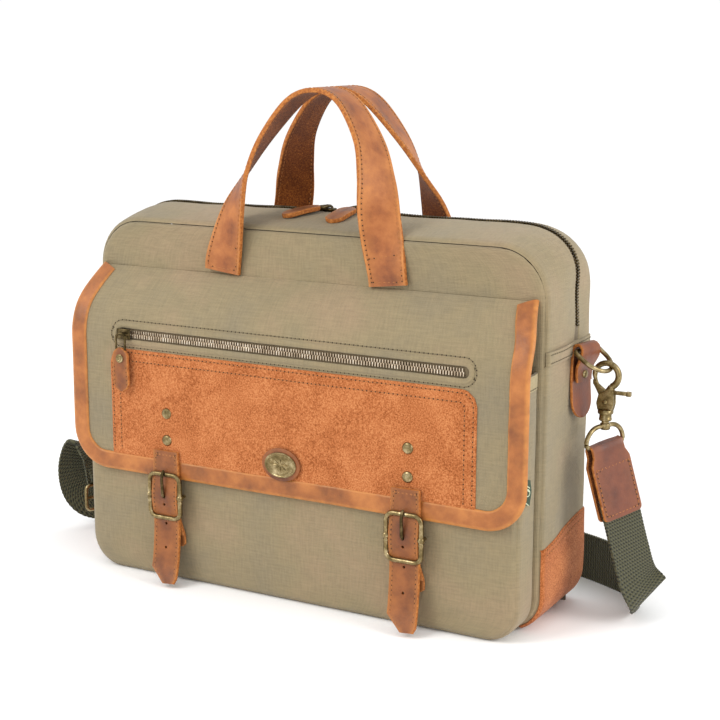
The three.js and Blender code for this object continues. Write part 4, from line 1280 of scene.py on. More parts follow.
def turned(name, profile, centre, axis, sides=28):
    """A profile of (radius, height) in mm, turned about an axis through centre."""
    mesh = bpy.data.meshes.new(name)
    links = [(k, k + 1) for k in range(len(profile) - 1)]
    mesh.from_pydata([(r * MM, 0, h * MM) for r, h in profile], links, [])
    made = place_object(name, mesh)
    spin = made.modifiers.new("turn", "SCREW")
    spin.steps = spin.render_steps = sides
    spin.use_merge_vertices = True
    spin.merge_threshold = 0.00001
    apply_modifiers(made)
    made.data.transform(Matrix.Translation(centre) @ frame_of(axis))
    return mend(made, 0.01 * MM)


def rod(name, points, radius, closed=False, sizes=None):
    """A round rod along points; sizes scale it from point to point."""
    curve = bpy.data.curves.new(name, "CURVE")
    curve.dimensions = "3D"
    curve.bevel_depth = radius
    curve.bevel_resolution = 4
    curve.use_fill_caps = True
    spline = curve.splines.new("POLY")
    spline.points.add(len(points) - 1)
    for k, place in enumerate(points):
        spline.points[k].co = (*place, 1)
        spline.points[k].radius = sizes[k] if sizes else 1
    spline.use_cyclic_u = closed
    made = bpy.data.objects.new(name, curve)
    bpy.context.scene.collection.objects.link(made)
    only(made)
    bpy.ops.object.convert(target="MESH")
    return bpy.context.object


def block(name, low, high, bevel, segments=3):
    """A box between two corners with rounded edges."""
    low, high = Vector(low), Vector(high)
    bpy.ops.mesh.primitive_cube_add(size=1, location=(low + high) / 2)
    made = bpy.context.object
    made.name = name
    made.scale = high - low
    bpy.ops.object.transform_apply(location=True, rotation=True, scale=True)
    rounding = made.modifiers.new("edges", "BEVEL")
    rounding.width, rounding.segments = bevel, segments
    apply_modifiers(made)
    return made


def joined(name, pieces):
    """One object made of several."""
    only(pieces[0])
    for one in pieces[1:]:
        one.select_set(True)
    bpy.ops.object.join()
    made = bpy.context.object
    made.name = made.data.name = name
    return made


def moved(piece, matrix):
    piece.data.transform(matrix)
    return piece


def drill(piece, places, axis, radius, deep=8 * MM):
    """Bores round holes through a piece."""
    bits = []
    for place in places:
        bpy.ops.mesh.primitive_cylinder_add(vertices=18, radius=radius, depth=deep, location=place,
                                            rotation=frame_of(axis).to_euler())
        bits.append(bpy.context.object)
    bit = joined("bit", bits)
    cut = piece.modifiers.new("holes", "BOOLEAN")
    cut.operation, cut.object, cut.solver = "DIFFERENCE", bit, "EXACT"
    apply_modifiers(piece)
    bpy.data.objects.remove(bit)
    return piece


# %% [markdown]
# ### Badge and rivets
# A die-struck medallion on a leather oval, with no name on it. The rivets are domed caps with a
# rolled rim. On the bag they press so hard into the suede that it dips round them; here the suede under them
# stays flat.

# %% Badge
badge_low, badge_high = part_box("badge_plate")
back_low, back_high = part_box("badge_backing")
badge_middle = (badge_low + badge_high) / 2


def oval(name, profile, centre, half_x, half_z):
    """A profile turned about the Y axis and stretched to an oval. Its radii are shares of the whole."""
    made = turned(name, [(r * 1000, h) for r, h in profile], (0, 0, 0), -Y, 56)
    return moved(made, Matrix.Translation(centre) @ Matrix.Diagonal((half_x, 1, half_z, 1)))


backing = oval("badge_leather", [(0, 0), (0.97, 0), (1, 0.2), (1, 0.9), (0.97, 1.15), (0.6, 1.15), (0, 1.15)],
               (badge_middle.x, back_high.y, badge_middle.z), back_high.x, (back_high.z - back_low.z) / 2)
settle(backing, [strap_leather], "flap", ["badge_backing"])
plate = oval("badge_medallion",
             [(0, 0), (0.95, 0), (1, 0.3), (1, 0.9), (0.96, 1.35), (0.9, 1.4), (0.85, 1.1), (0.83, 0.85),
              (0.76, 0.85), (0.74, 1.05), (0.71, 1.05), (0.69, 0.85), (0.3, 0.9), (0, 0.95)],
             (badge_middle.x, badge_high.y, badge_middle.z), badge_high.x, (badge_high.z - badge_low.z) / 2)
stamps = [plate]
for k in range(8):
    turn = k * math.pi / 4
    tip = badge_middle + Vector((math.cos(turn) * 7.4 * MM, -0.45 * MM, math.sin(turn) * 5.0 * MM))
    root = badge_middle + Vector((math.cos(turn) * 1.8 * MM, -0.45 * MM, math.sin(turn) * 1.2 * MM))
    stamps.append(rod("ray", [root, (root + tip) / 2, tip], 0.75 * MM, sizes=[0.5, 1, 0.2]))
settle(joined("badge_medallion", stamps), [brass], "flap", ["badge_plate"])

# %% Rivets
RIVET = [(0, 2.1), (0.6, 2.1), (1.0, 1.9), (1.5, 2.0), (2.1, 1.8), (3.0, 1.75), (3.8, 1.35), (4.4, 0.7),
         (4.5, 0.1), (4.2, -0.2), (0, -0.2)]
for side in ("left", "right"):
    for row in ("upper", "lower"):
        node = f"rivet_{side}_{row}"
        low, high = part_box(node)
        middle = (low + high) / 2
        seat = on_flap(middle.x, middle.z, SUEDE_LIFT)
        settle(turned(f"{node}_cap", RIVET, (middle.x, seat.y + 0.2 * MM, middle.z), -Y), [brass], "flap",
               [node])

# %% [markdown]
# ### Buckle straps
# One thick strip of leather stitched along its edges, sewn to the binding and the suede above. The
# strap bulges where it passes the buckle's bar, and its tail has been bent forward by use. The
# chape is the tab that holds the buckle: it wraps the bar and carries the snap behind.

# %% Straps, buckles and chapes
strap_low, strap_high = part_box("buckle_strap_right")
STRAP_HALF = (strap_high.x - strap_low.x) / 2
STRAP_Y = (strap_low.y + strap_high.y) / 2
frame_low, frame_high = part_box("buckle_frame_right")
BAR_Z = (frame_low.z + frame_high.z) / 2
BAR_Y = STRAP_Y + 3.0 * MM
WIRE = 1.9 * MM
KNOB = [(0, -2.6), (1.6, -2.4), (2.6, -1.5), (2.9, 0), (2.6, 1.5), (1.6, 2.4), (0, 2.6)]
COLLAR = [(0, -3.1), (2.2, -3.1), (2.4, -2.6), (2.2, -2.1), (0, -2.1)]
SNAP_STUD = [(0, -0.9), (3, -0.9), (3.4, -0.6), (3.4, 0.2), (6.3, 0.2), (6.9, 0.6), (6.9, 0.9), (0, 0.9)]
SNAP_SOCKET = [(0, 0), (2.8, 0), (3.2, 0.5), (4.2, 0.6), (5.6, 0.5), (6.8, 0.1), (6.9, -0.5), (0, -0.5)]


def rounded_loop(half_x, low, high, radius, y, x=0.0):
    """A closed rounded rectangle in an upright plane, as points."""
    flat = outline([(x - half_x, low, radius), (x - half_x, high, radius), (x + half_x, high, radius),
                    (x + half_x, low, radius)], y, closed=True, arc=8)
    count = int(flat.length / (1.6 * MM))
    return [flat.point(flat.length * k / count) for k in range(count)]


for side, name in ((-1, "left"), (1, "right")):
    x = side * (strap_low.x + strap_high.x) / 2
    line = smooth_line([
        (x + 2 * MM, STRAP_Y - 11.5 * MM, strap_low.z, 1, 0.0, 0),
        (x + 0.6 * MM, STRAP_Y - 4.5 * MM, 20 * MM, 1, 0, 0),
        (x, STRAP_Y - 0.9 * MM, 42 * MM, 1, 0, 0),
        (x, STRAP_Y - 0.7 * MM, 56 * MM, 1, 0, 0),
        (x, STRAP_Y - 2.5 * MM, 66 * MM, 1, 0, 0),
        (x, STRAP_Y - 3.0 * MM, 76 * MM, 1, 0, 0),
        (x, STRAP_Y - 1.3 * MM, 87 * MM, 1, 0, 0),
        (x, STRAP_Y - 0.1 * MM, 96 * MM, 1, 0, 0),
        (x, STRAP_Y, strap_high.z, 1, 0, 0),
    ])

    def strap_edges(s):
        left = -STRAP_HALF + 0.95 * max(0.0, 13 * MM - s) + 0.5 * MM * fade(s, 90 * MM, 105 * MM)
        right = STRAP_HALF - 0.5 * max(0.0, 4 * MM - s) - 0.5 * MM * fade(s, 90 * MM, 105 * MM)
        return left, right

    body = strap(f"buckle_strap_{name}_leather", line, strap_edges, 2.9 * MM, 2.5 * MM, inset=2.6 * MM,
                 extra=(1 * MM, 4 * MM, 13 * MM))
    hole_spots = [line.point(line.length * share) for share in (0.27, 0.45, 0.6)]
    body = drill(body, hole_spots, Y, 1.15 * MM)
    settle(body, leather_parts(strap_leather, flesh_side), "flap", [f"buckle_strap_{name}"])
    rows = []
    for side_sign in (-1, 1):
        rows += strap_spots(line, lambda s: strap_edges(s)[0 if side_sign < 0 else 1] - side_sign * 2.6 * MM,
                            1.2 * MM, 5 * MM, line.length - 3 * MM)
    for k in range(6):
        for lean in (-1, 1):
            spot = line.point(line.length - 3.4 * MM) + X * (k - 2.5) * 3.4 * MM - Y * 1.35 * MM
            rows.append((spot, (X + Z * 0.8 * lean).normalized(), -Y))
    settle(stitches(f"buckle_strap_{name}_stitches", rows, radius=0.33 * MM), [tan_thread, painted_hole_shade],
           "flap")

    half = (frame_high.x - frame_low.x) / 2 - WIRE
    front_y = frame_low.y + WIRE
    around = rounded_loop(half, frame_low.z + WIRE, frame_high.z - WIRE, 6 * MM, front_y, x)
    parts = [rod("loop", around, WIRE, True)]
    for end in (-1, 1):
        at = x + end * half
        lug = [(at, front_y, BAR_Z), (at, front_y + 3 * MM, BAR_Z), (at, BAR_Y, BAR_Z)]
        parts.append(rod("lug", lug, 1.5 * MM))
        parts.append(turned("knob", KNOB, (at, front_y + 0.2 * MM, BAR_Z), X, 20))
        parts.append(turned("collar", COLLAR, (at, front_y, BAR_Z - 1 * MM), Z, 20))
    bar = [(x - half, BAR_Y, BAR_Z), (x, BAR_Y, BAR_Z), (x + half, BAR_Y, BAR_Z)]
    parts.append(rod("bar", bar, 1.35 * MM))
    settle(joined(f"buckle_frame_{name}_wire", parts), [brass], "flap", [f"buckle_frame_{name}"],
           angle=60)

    prong = smooth_line([(x, BAR_Y + 2.6 * MM, BAR_Z), (x, BAR_Y + 1.6 * MM, BAR_Z - 2.6 * MM),
                         (x, BAR_Y - 2.4 * MM, BAR_Z - 2.8 * MM), (x, front_y - 2.4 * MM, BAR_Z + 1 * MM),
                         (x, front_y - 3.3 * MM, BAR_Z + 8 * MM), (x, front_y - 3.7 * MM, BAR_Z + 15 * MM),
                         (x, front_y - 2.7 * MM, BAR_Z + 19.5 * MM),
                         (x, front_y - 0.8 * MM, BAR_Z + 21.2 * MM)])
    places = [prong.point(prong.length * k / 24) for k in range(25)]
    taper = [1.15 - 0.35 * k / 24 for k in range(25)]
    settle(rod(f"buckle_prong_{name}_wire", places, 1.4 * MM, sizes=taper), [dark_brass],
           f"buckle_prong_{name}", [f"buckle_prong_{name}"], angle=60)

    chape_low, chape_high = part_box(f"buckle_chape_{name}")
    back_y, near_y = chape_high.y - 0.9 * MM, BAR_Y - 0.2 * MM
    wrap = smooth_line([
        (x, back_y, chape_low.z, 1, 0, 0), (x, back_y - 0.2 * MM, 46 * MM, 1, 0, 0),
        (x, back_y + 0.6 * MM, 62 * MM, 1, 0, 0), (x, BAR_Y + 2.5 * MM, BAR_Z - 1 * MM, 1, 0, 0),
        (x, BAR_Y, BAR_Z + 2.6 * MM, 1, 0, 0), (x, BAR_Y - 2.3 * MM, BAR_Z - 1 * MM, 1, 0, 0),
        (x, near_y - 0.2 * MM, 64 * MM, 1, 0, 0), (x, back_y - 2.0 * MM, 50 * MM, 1, 0, 0),
        (x, back_y - 1.9 * MM, 41 * MM, 1, 0, 0),
    ])

    def chape_edges(s):
        z = wrap.point(s).z
        half = 8.5 * MM + 5.3 * MM * (1 - fade(z, 38 * MM, 58 * MM)) - 1.4 * max(0.0, 2 * MM - s)
        return -half, half

    body = strap(f"buckle_chape_{name}_leather", wrap, chape_edges, 1.6 * MM, 2.2 * MM, dip=0.1 * MM)
    settle(body, leather_parts(strap_leather, strap_leather), "flap", [f"buckle_chape_{name}"],
           angle=60)
    for half_snap, profile, holder in (("snap_stud", SNAP_STUD, "flap"), ("snap_socket", SNAP_SOCKET, "bag")):
        low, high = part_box(f"{half_snap}_{name}")
        cap = turned(f"{half_snap}_{name}_cap", profile, (low + high) / 2, -Y)
        settle(cap, [brass], holder, [f"{half_snap}_{name}"])
print("buckles", round(BAR_Z, 4), "m up")

# %% [markdown]
# ### Zip sliders and pulls
# Each zip has a cast slider with a bridge on top. A small ring through the bridge carries a leather
# pull of two layers, held by one rivet.

# %% Sliders, rings and pulls
PULL_RIVET = [(0, 1.0), (0.9, 0.95), (1.3, 0.75), (1.7, 1.1), (2.6, 1.2), (3.4, 0.8), (3.6, -0.1), (0, -0.1)]


def slider(name, middle, out, run, size=(13, 8.6, 3.0)):
    """A slider on a surface: out is away from it and run is along the zip. Its size is in mm."""
    across = out.cross(run).normalized()
    place = Matrix(((run.x, across.x, out.x, middle.x), (run.y, across.y, out.y, middle.y),
                    (run.z, across.z, out.z, middle.z), (0, 0, 0, 1)))
    long, wide, high = [v * MM for v in size]
    shell = block("shell", (-long / 2, -wide / 2, 0), (long / 2, wide / 2, high * 0.62), 0.9 * MM)
    bridge = rod("bridge", [(-long * 0.36, 0, high * 0.4), (-long * 0.3, 0, high * 0.95), (0, 0, high * 1.2),
                            (long * 0.3, 0, high * 0.95), (long * 0.36, 0, high * 0.4)], 1.0 * MM)
    made = moved(joined(f"{name}_casting", [shell, bridge]), place)
    return settle(made, [dark_brass], name, [name], angle=50)


def pull(name, line, ring_points, width, thick=2.6 * MM):
    """A leather tab along a line, with its ring and its rivet. Its node and body have its name."""
    half = width / 2

    def edges(s):
        left = min(s, line.length - s)
        curve = half - math.sqrt(max(0.0, half ** 2 - max(0.0, half - left) ** 2))
        corner = min(curve, half * 0.72)
        return -half + corner, half - corner

    ends = tuple(round(half * share, 6) for share in (0.05, 0.14, 0.3, 0.5, 0.75, 1.0))
    extra = ends + tuple(line.length - e for e in ends)
    tab = strap(f"{name}_leather", line, edges, thick, 3 * MM, dip=0.15 * MM, inset=2 * MM, extra=extra)
    settle(tab, leather_parts(strap_leather, strap_leather), name, [name])
    settle(rod(f"{name}_ring", ring_points, 0.95 * MM, True), [dark_brass], name, angle=60)
    at = line.length * 0.24
    up = line.side(at).cross(line.direction(at)).normalized()
    cap = turned(f"{name}_rivet", PULL_RIVET, line.point(at) + up * thick / 2, up, 24)
    settle(cap, [brass], name)
    rows = []
    for side in (-1, 1):
        rows += strap_spots(line, side * (half - 1.9 * MM), thick / 2 - 0.05 * MM, line.length * 0.36,
                            line.length - half * 0.7, 3.2 * MM)
    settle(stitches(f"{name}_stitches", rows, 2.0 * MM, 0.28 * MM), [tan_thread, painted_hole_shade], name)


slider_middle = (slider_box[0] + slider_box[1]) / 2
slider("flap_slider", Vector((slider_middle.x, slider_box[1].y + 0.2 * MM, WINDOW_Z)), -Y, X)
pull_low, pull_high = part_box("flap_pull")
pull_x, pull_y = (pull_low.x + pull_high.x) / 2, (pull_low.y + pull_high.y) / 2
hang = smooth_line([(pull_x, pull_y, 191.5 * MM, -1, 0, 0), (pull_x, pull_y - 0.3 * MM, 176 * MM, -1, 0, 0),
                    (pull_x, pull_y + 0.4 * MM, pull_low.z, -1, 0, 0)])
ring = rounded_loop(4.4 * MM, 187 * MM, WINDOW_Z + 1.2 * MM, 4.2 * MM, pull_y, pull_x)
pull("flap_pull", hang, ring, 15.5 * MM)

# Where each top pull's far end lies, to the side and to the front
for side, name, far in ((-1, "left", (-33 * MM, -23 * MM)), (1, "right", (12 * MM, -27 * MM))):
    low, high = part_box(f"top_slider_{name}")
    middle = (low + high) / 2
    mid_s = arch.length / 2 + middle.x
    seat = on_arch(mid_s, ZIP_Y, 0.4 * MM)
    slider(f"top_slider_{name}", Vector((middle.x, ZIP_Y, seat.z)), Z, X * -side, (13, 8, 3.4))
    start = Vector((middle.x + (far[0] - middle.x) * 0.18, ZIP_Y - 7.5 * MM, 0))
    rows = []
    run = Vector((far[0] - start.x, far[1] - start.y, 0)).normalized()
    for share in (0, 0.33, 0.66, 1.0):
        spot = start.lerp(Vector((*far, 0)), share)
        top = on_arch(arch.length / 2 + spot.x, spot.y, 2.1 * MM + 1.6 * MM * (1 - share))
        rows.append((top.x, top.y, top.z, -run.y, run.x, 0))
    line = smooth_line(rows)
    head = line.point(1.5 * MM)
    aside = Vector((-run.y, run.x, 0))
    bridge = Vector((middle.x, ZIP_Y, seat.z + 3.6 * MM))
    loop_middle = (bridge + head) / 2
    reach = (head - bridge).length / 2 + 2.6 * MM
    along = (head - bridge).normalized()
    ring = [loop_middle + along * reach * math.cos(t) + aside * 3.6 * MM * math.sin(t)
            for t in (2 * math.pi * k / 28 for k in range(28))]
    pull(f"top_pull_{name}", line, ring, 16 * MM, 3.4 * MM)
print("top sliders", round(seat.z, 4), "m up")

# %% [markdown]
# ## Side fittings
# On each side a leather tab carries a D-ring, a snap hook hangs from the ring, and the hook's
# swivel eye carries the leather end of the shoulder strap. All are shaped once for the right side,
# with X pointing away from the bag, and turned half round for the left.

# %% Places of the fittings
hook_low, hook_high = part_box("snap_hook_right")
eye_low, eye_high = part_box("hook_swivel_right")
end_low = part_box("strap_end_right")[0]
FIT_Y = (hook_low.y + hook_high.y) / 2
RING_TILT = math.radians(35)
BAR = Vector((205.9 * MM, 0, 208.4 * MM))
HOOK = Vector((BAR.x + 24 * MM * math.cos(RING_TILT), 0, hook_high.z - 11 * MM))
EYE_BAR = eye_low.z + 2 * MM
LEAN = math.radians(16)
STRAP_TURN = math.radians(65)
fit = {
    "right": Matrix.Translation((0, FIT_Y, 0)),
    "left": Matrix.Translation((0, FIT_Y, 0)) @ Matrix.Rotation(math.pi, 4, "Z"),
}
swing = Matrix.Translation((HOOK.x, 0, 0)) @ Matrix.Rotation(STRAP_TURN, 4, "Z")
leaning = (Matrix.Translation((HOOK.x, 0, EYE_BAR)) @ Matrix.Rotation(-LEAN, 4, "Y")
           @ Matrix.Translation((-HOOK.x, 0, -EYE_BAR)))


def drift(z):
    """How far outwards the hanging strap has moved at a height."""
    return (EYE_BAR - z) * math.tan(LEAN)


print("ring bar", [round(v, 4) for v in BAR], "hook eye", [round(v, 4) for v in HOOK])


# %% Cast plates
def cast(name, corners, thickness, bevel, y=0.0):
    """A flat casting from (x, z, radius) corners in mm, with rounded edges."""
    flat = outline([(a * MM, b * MM, r * MM) for a, b, r in corners], y - thickness / 2, closed=True, arc=6)
    points = flat.points[:-1]
    mesh = bpy.data.meshes.new(name)
    mesh.from_pydata(points, [], [tuple(range(len(points)))])
    made = place_object(name, mesh)
    only(made)
    bpy.ops.object.mode_set(mode="EDIT")
    bpy.ops.mesh.select_all(action="SELECT")
    bpy.ops.mesh.remove_doubles(threshold=0.00001)
    bpy.ops.mesh.extrude_region_move(TRANSFORM_OT_translate={"value": (0, thickness, 0)})
    bpy.ops.mesh.select_all(action="SELECT")
    bpy.ops.mesh.normals_make_consistent(inside=False)
    bpy.ops.object.mode_set(mode="OBJECT")
    edges = made.modifiers.new("edges", "BEVEL")
    edges.width, edges.segments, edges.limit_method = bevel, 3, "ANGLE"
    apply_modifiers(made)
    return made


# %% Tabs and D-rings
def bend_about(centre, radius, first, last, steps):
    """Points round a centre in the XZ plane, between two angles in degrees."""
    made = []
    for k in range(steps + 1):
        turn = math.radians(first + (last - first) * k / steps)
        made.append(centre + Vector((math.cos(turn), 0, math.sin(turn))) * radius)
    return made


TAB_HALF = 13 * MM
TAB_TURN = (Matrix.Translation((BAR.x, -TAB_HALF, 0)) @ Matrix.Rotation(math.radians(-12), 4, "Z")
            @ Matrix.Translation((-BAR.x, TAB_HALF, 0)))
tab_points = smooth_line([(204.2 * MM, 0, 156 * MM), (203.0 * MM, 0, 168 * MM), (202.0 * MM, 0, 182 * MM),
                          (201.6 * MM, 0, 198 * MM)], 6).points
tab_points += bend_about(BAR, 4.4 * MM, 185, -20, 14)
tab_points += smooth_line([(209.6 * MM, 0, 204 * MM), (207.6 * MM, 0, 199.5 * MM), (205.4 * MM, 0, 195 * MM),
                           (204.7 * MM, 0, 189 * MM), (204.9 * MM, 0, 184 * MM)], 6).points
tab_line = Line(tab_points, [Y] * len(tab_points))


def tab_edges(s):
    curve = TAB_HALF - math.sqrt(max(0.0, TAB_HALF ** 2 - max(0.0, TAB_HALF - s) ** 2))
    left = tab_line.length - s
    half = TAB_HALF - min(curve, TAB_HALF * 0.85)
    half -= 2.2 * MM * fade(left, 20 * MM, 34 * MM) * fade(s, 30 * MM, 60 * MM)
    half -= 3.2 * MM * (1 - fade(left, 0, 22 * MM))
    return -half, half


for side in ("right", "left"):
    pulled = fit[side] @ TAB_TURN
    tab = strap(f"side_tab_{side}_leather", tab_line, tab_edges, 2.3 * MM, 2.5 * MM, inset=2.4 * MM,
                extra=(0.7 * MM, 1.8 * MM, 3.8 * MM, 6.5 * MM, 9.5 * MM))
    settle(moved(tab, pulled), leather_parts(dark_leather, dark_leather), "bag", [f"side_tab_{side}"])
    cap = turned(f"side_tab_{side}_rivet", [(0, 1.5), (1.6, 1.4), (2.8, 0.8), (3.2, 0), (0, 0)],
                 (206.0 * MM, 0, 189.5 * MM), X, 24)
    settle(moved(cap, pulled), [brass], "bag")
    rows = []
    for edge, inset in ((0, 2.3 * MM), (1, -2.3 * MM)):
        rows += strap_spots(tab_line, lambda s: tab_edges(s)[edge] * 0.99 + inset, -1.1 * MM, 8 * MM, 32 * MM)
    spots = [(pulled @ p, pulled.to_3x3() @ r, pulled.to_3x3() @ -u) for p, r, u in rows]
    settle(stitches(f"side_tab_{side}_stitches", spots, 2.1 * MM, 0.3 * MM), [tan_thread, painted_hole_shade], "bag")

    half = 15 * MM
    flat = [Vector((0, -half + 2 * MM, 0)), Vector((0, half - 2 * MM, 0)),
            Vector((0.6 * MM, half - 0.6 * MM, 0)), Vector((2 * MM, half, 0)), Vector((9 * MM, half, 0))]
    for k in range(1, 24):
        turn = math.pi / 2 - math.pi * k / 24
        flat.append(Vector((9 * MM + half * math.cos(turn), half * math.sin(turn), 0)))
    flat += [Vector((9 * MM, -half, 0)), Vector((2 * MM, -half, 0)), Vector((0.6 * MM, -half + 0.6 * MM, 0))]
    ring = rod(f"d_ring_{side}_wire", flat, 1.75 * MM, True)
    tilt = Matrix.Translation(BAR) @ Matrix.Rotation(RING_TILT, 4, "Y")
    settle(moved(ring, pulled @ tilt), [brass], "bag", [f"d_ring_{side}"], angle=60)

# %% [markdown]
# The hook's body is a casting: a thick round eye that thins towards its tip, and a drop-shaped
# plate below. A sprung gate turns on a rivet and closes the eye; a square lever on it points
# outwards. The barrel under the plate turns in the wire eye that carries the strap.

# %% Snap hooks
PIVOT = Vector((0, 0, -20 * MM))
SHANK = [(4.3, 0, -8.2), (3.4, 0, -10.0), (1.8, 0, -12.5), (0.8, 0, -15), (0, 0, -18)]
CHEEK = [(-5.6, -26.4, 1.2), (-6.8, -21, 4), (-5.2, -14.2, 3), (1.6, -9.9, 1), (6.6, -10.8, 2.5),
         (6.9, -21, 4), (5.6, -26.4, 1.2)]
CORE = [(-4.6, -26.4, 1), (-4.6, -24.4, 1), (4.6, -24.4, 1), (4.6, -26.4, 1)]
BARREL = [(0, -25.6), (5.4, -25.8), (5.9, -26.3), (5.9, -28.6), (5.5, -29.1), (4.6, -29.4), (4.6, -32.2),
          (4.9, -32.5), (4.9, -33.8), (4.5, -34.3), (2.9, -34.5), (2.8, -36.2), (3.7, -36.5), (3.9, -37.0),
          (3.9, -40.4), (3.3, -41.2), (0, -41.4)]
JAW = [(-10.6, -3.6, 1.2), (-7.4, -3.2, 0.8), (-6.2, -6.6, 2), (-2.6, -9.4, 2), (1.6, -12, 2),
       (2.4, -22.5, 2), (-2.6, -22.5, 2), (-5.4, -16, 3), (-8.0, -11, 3), (-10.4, -7.0, 2)]
for side in ("right", "left"):
    place = fit[side] @ Matrix.Translation(HOOK)
    eye_points = bend_about(Vector((0, 0, 0)), 9.2 * MM, -62, 204, 40)
    taper = [1.2 - 0.3 * k / 40 if k < 36 else 0.93 - 0.08 * (k - 36) for k in range(41)]
    eye = rod("eye", eye_points, 2.2 * MM, sizes=taper)
    shank = rod("shank", [Vector(p) * MM for p in SHANK], 3.0 * MM, sizes=[0.9, 1.0, 1.05, 1.0, 0.8])
    cheeks = [cast("cheek", CHEEK, 1.9 * MM, 0.55 * MM, y * MM) for y in (-2.1, 2.1)]
    core = cast("core", CORE, 5.6 * MM, 0.4 * MM)
    barrel = turned("barrel", BARREL, (0, 0, 0), Z, 28)
    rivet = [turned("pin", [(0, 1.1), (1.2, 0.9), (2.0, 0.2), (2.1, -0.3), (0, -0.3)],
                    (0, y * 3.0 * MM, PIVOT.z), Y * y, 20) for y in (-1, 1)]
    hook = joined(f"snap_hook_{side}_casting", [eye, shank, *cheeks, core, barrel, *rivet])
    settle(moved(hook, place), [brass], "bag", [f"snap_hook_{side}"], angle=50)

    jaw = cast("jaw", JAW, 2.2 * MM, 0.6 * MM)
    lever = block("lever", (2 * MM, -1.4 * MM, -13.9 * MM), (18.4 * MM, 1.4 * MM, -11.0 * MM), 0.5 * MM)
    grip = block("grip", (15.6 * MM, -1.7 * MM, -14.3 * MM), (19.4 * MM, 1.7 * MM, -10.6 * MM), 0.7 * MM)
    trigger = joined(f"hook_trigger_{side}_casting", [jaw, lever, grip])
    settle(moved(trigger, place), [brass], f"hook_trigger_{side}", [f"hook_trigger_{side}"],
           angle=50)

    wide = 19 * MM
    loop = outline([(-wide, EYE_BAR, 5 * MM), (-wide, eye_high.z - 2 * MM, 13 * MM),
                    (wide, eye_high.z - 2 * MM, 13 * MM), (wide, EYE_BAR, 5 * MM)], closed=True, arc=10)
    count = int(loop.length / (1.6 * MM))
    places = [loop.point(loop.length * k / count) for k in range(count)]
    wire = rod(f"hook_swivel_{side}_wire", places, 1.8 * MM, True)
    settle(moved(wire, fit[side] @ swing), [brass], "bag", [f"hook_swivel_{side}"], angle=60)

# %% [markdown]
# ## Shoulder strap
# The strap's leather ends are one piece folded over the wire eye, with the webbing sewn between
# its two layers. The webbing itself is one long band of twill. It hangs from the right end, folds
# back at the floor, stands on its edge behind the bag and comes up to the slide on the left.

# %% Leather strap ends
END_HALF, NECK_HALF = 20 * MM, 16.4 * MM
SHOULDER = 12 * MM
half_loop = [Vector((0, 2.7 * MM, end_low.z)), Vector((0, 2.9 * MM, 90 * MM)),
             Vector((0, 2.9 * MM, 118 * MM))]
over_bar = [Vector((0, 3.3 * MM * math.cos(t), EYE_BAR + 3.3 * MM * math.sin(t)))
            for t in (math.pi * k / 12 for k in range(13))]
fold_points = half_loop + over_bar + [Vector((p.x, -p.y, p.z)) for p in reversed(half_loop)]
fold = smooth_line([(*p, -1, 0, 0) for p in fold_points], 5)


def end_edges(s):
    z = fold.point(s).z
    half = NECK_HALF + (END_HALF - NECK_HALF) * fade(EYE_BAR - z, SHOULDER * 0.35, SHOULDER * 1.05)
    corner = max(0.0, 3.5 * MM - (z - end_low.z))
    half -= 3.5 * MM - math.sqrt(max(0.0, (3.5 * MM) ** 2 - corner ** 2))
    return -half, half


end_extra = tuple(v for e in (0.4, 1.0, 2.0, 3.5) for v in (e * MM, fold.length - e * MM))
for side in ("right", "left"):
    place = fit[side] @ leaning @ swing
    leather = strap(f"strap_end_{side}_leather", fold, end_edges, 2.2 * MM, 3 * MM, extra=end_extra)
    settle(moved(leather, place), leather_parts(dark_leather, flesh_side), "bag", [f"strap_end_{side}"])
    rows = []
    bar_at = fold.length / 2
    for start, end in ((4 * MM, bar_at - 20 * MM), (bar_at + 20 * MM, fold.length - 4 * MM)):
        for edge, inset in ((0, 3 * MM), (1, -3 * MM)):
            rows += strap_spots(fold, lambda s: end_edges(s)[edge] + inset, 1.0 * MM, start, end)
    for facing in (-1, 1):
        for z, lean in ((end_low.z + 3.4 * MM, 0), (EYE_BAR - SHOULDER * 1.25, 0.9)):
            for k in range(-4, 5):
                spot = Vector((k * 3.7 * MM, facing * 3.9 * MM, z))
                run = (X + Z * lean * (1 if k % 2 else -1)).normalized()
                rows.append((spot, run, Y * facing))
    turn = place.to_3x3()
    spots = [(place @ p, turn @ r, turn @ u) for p, r, u in rows]
    settle(stitches(f"strap_end_{side}_stitches", spots), [tan_thread, painted_hole_shade], "bag")


# %% Webbing
WEBBING_HALF = 19 * MM


def band(name, line, node, step=0.85 * MM):
    """Twill webbing along a line, with the small waves of its woven edges."""
    def place(across, s):
        wave = 1 + 0.012 * math.sin(2 * math.pi * s / (2.6 * MM)) * (abs(across) > WEBBING_HALF - 0.2 * MM)
        return line.point(s) + line.side(s) * across * wave

    made = sheet(name, stations(-WEBBING_HALF, WEBBING_HALF, 3.2 * MM, (1.0,)),
                 stations(0, line.length, step, ()), place)
    settle(thicken(made, 2.1 * MM), [webbing], "bag", [node], angle=60)
    return made


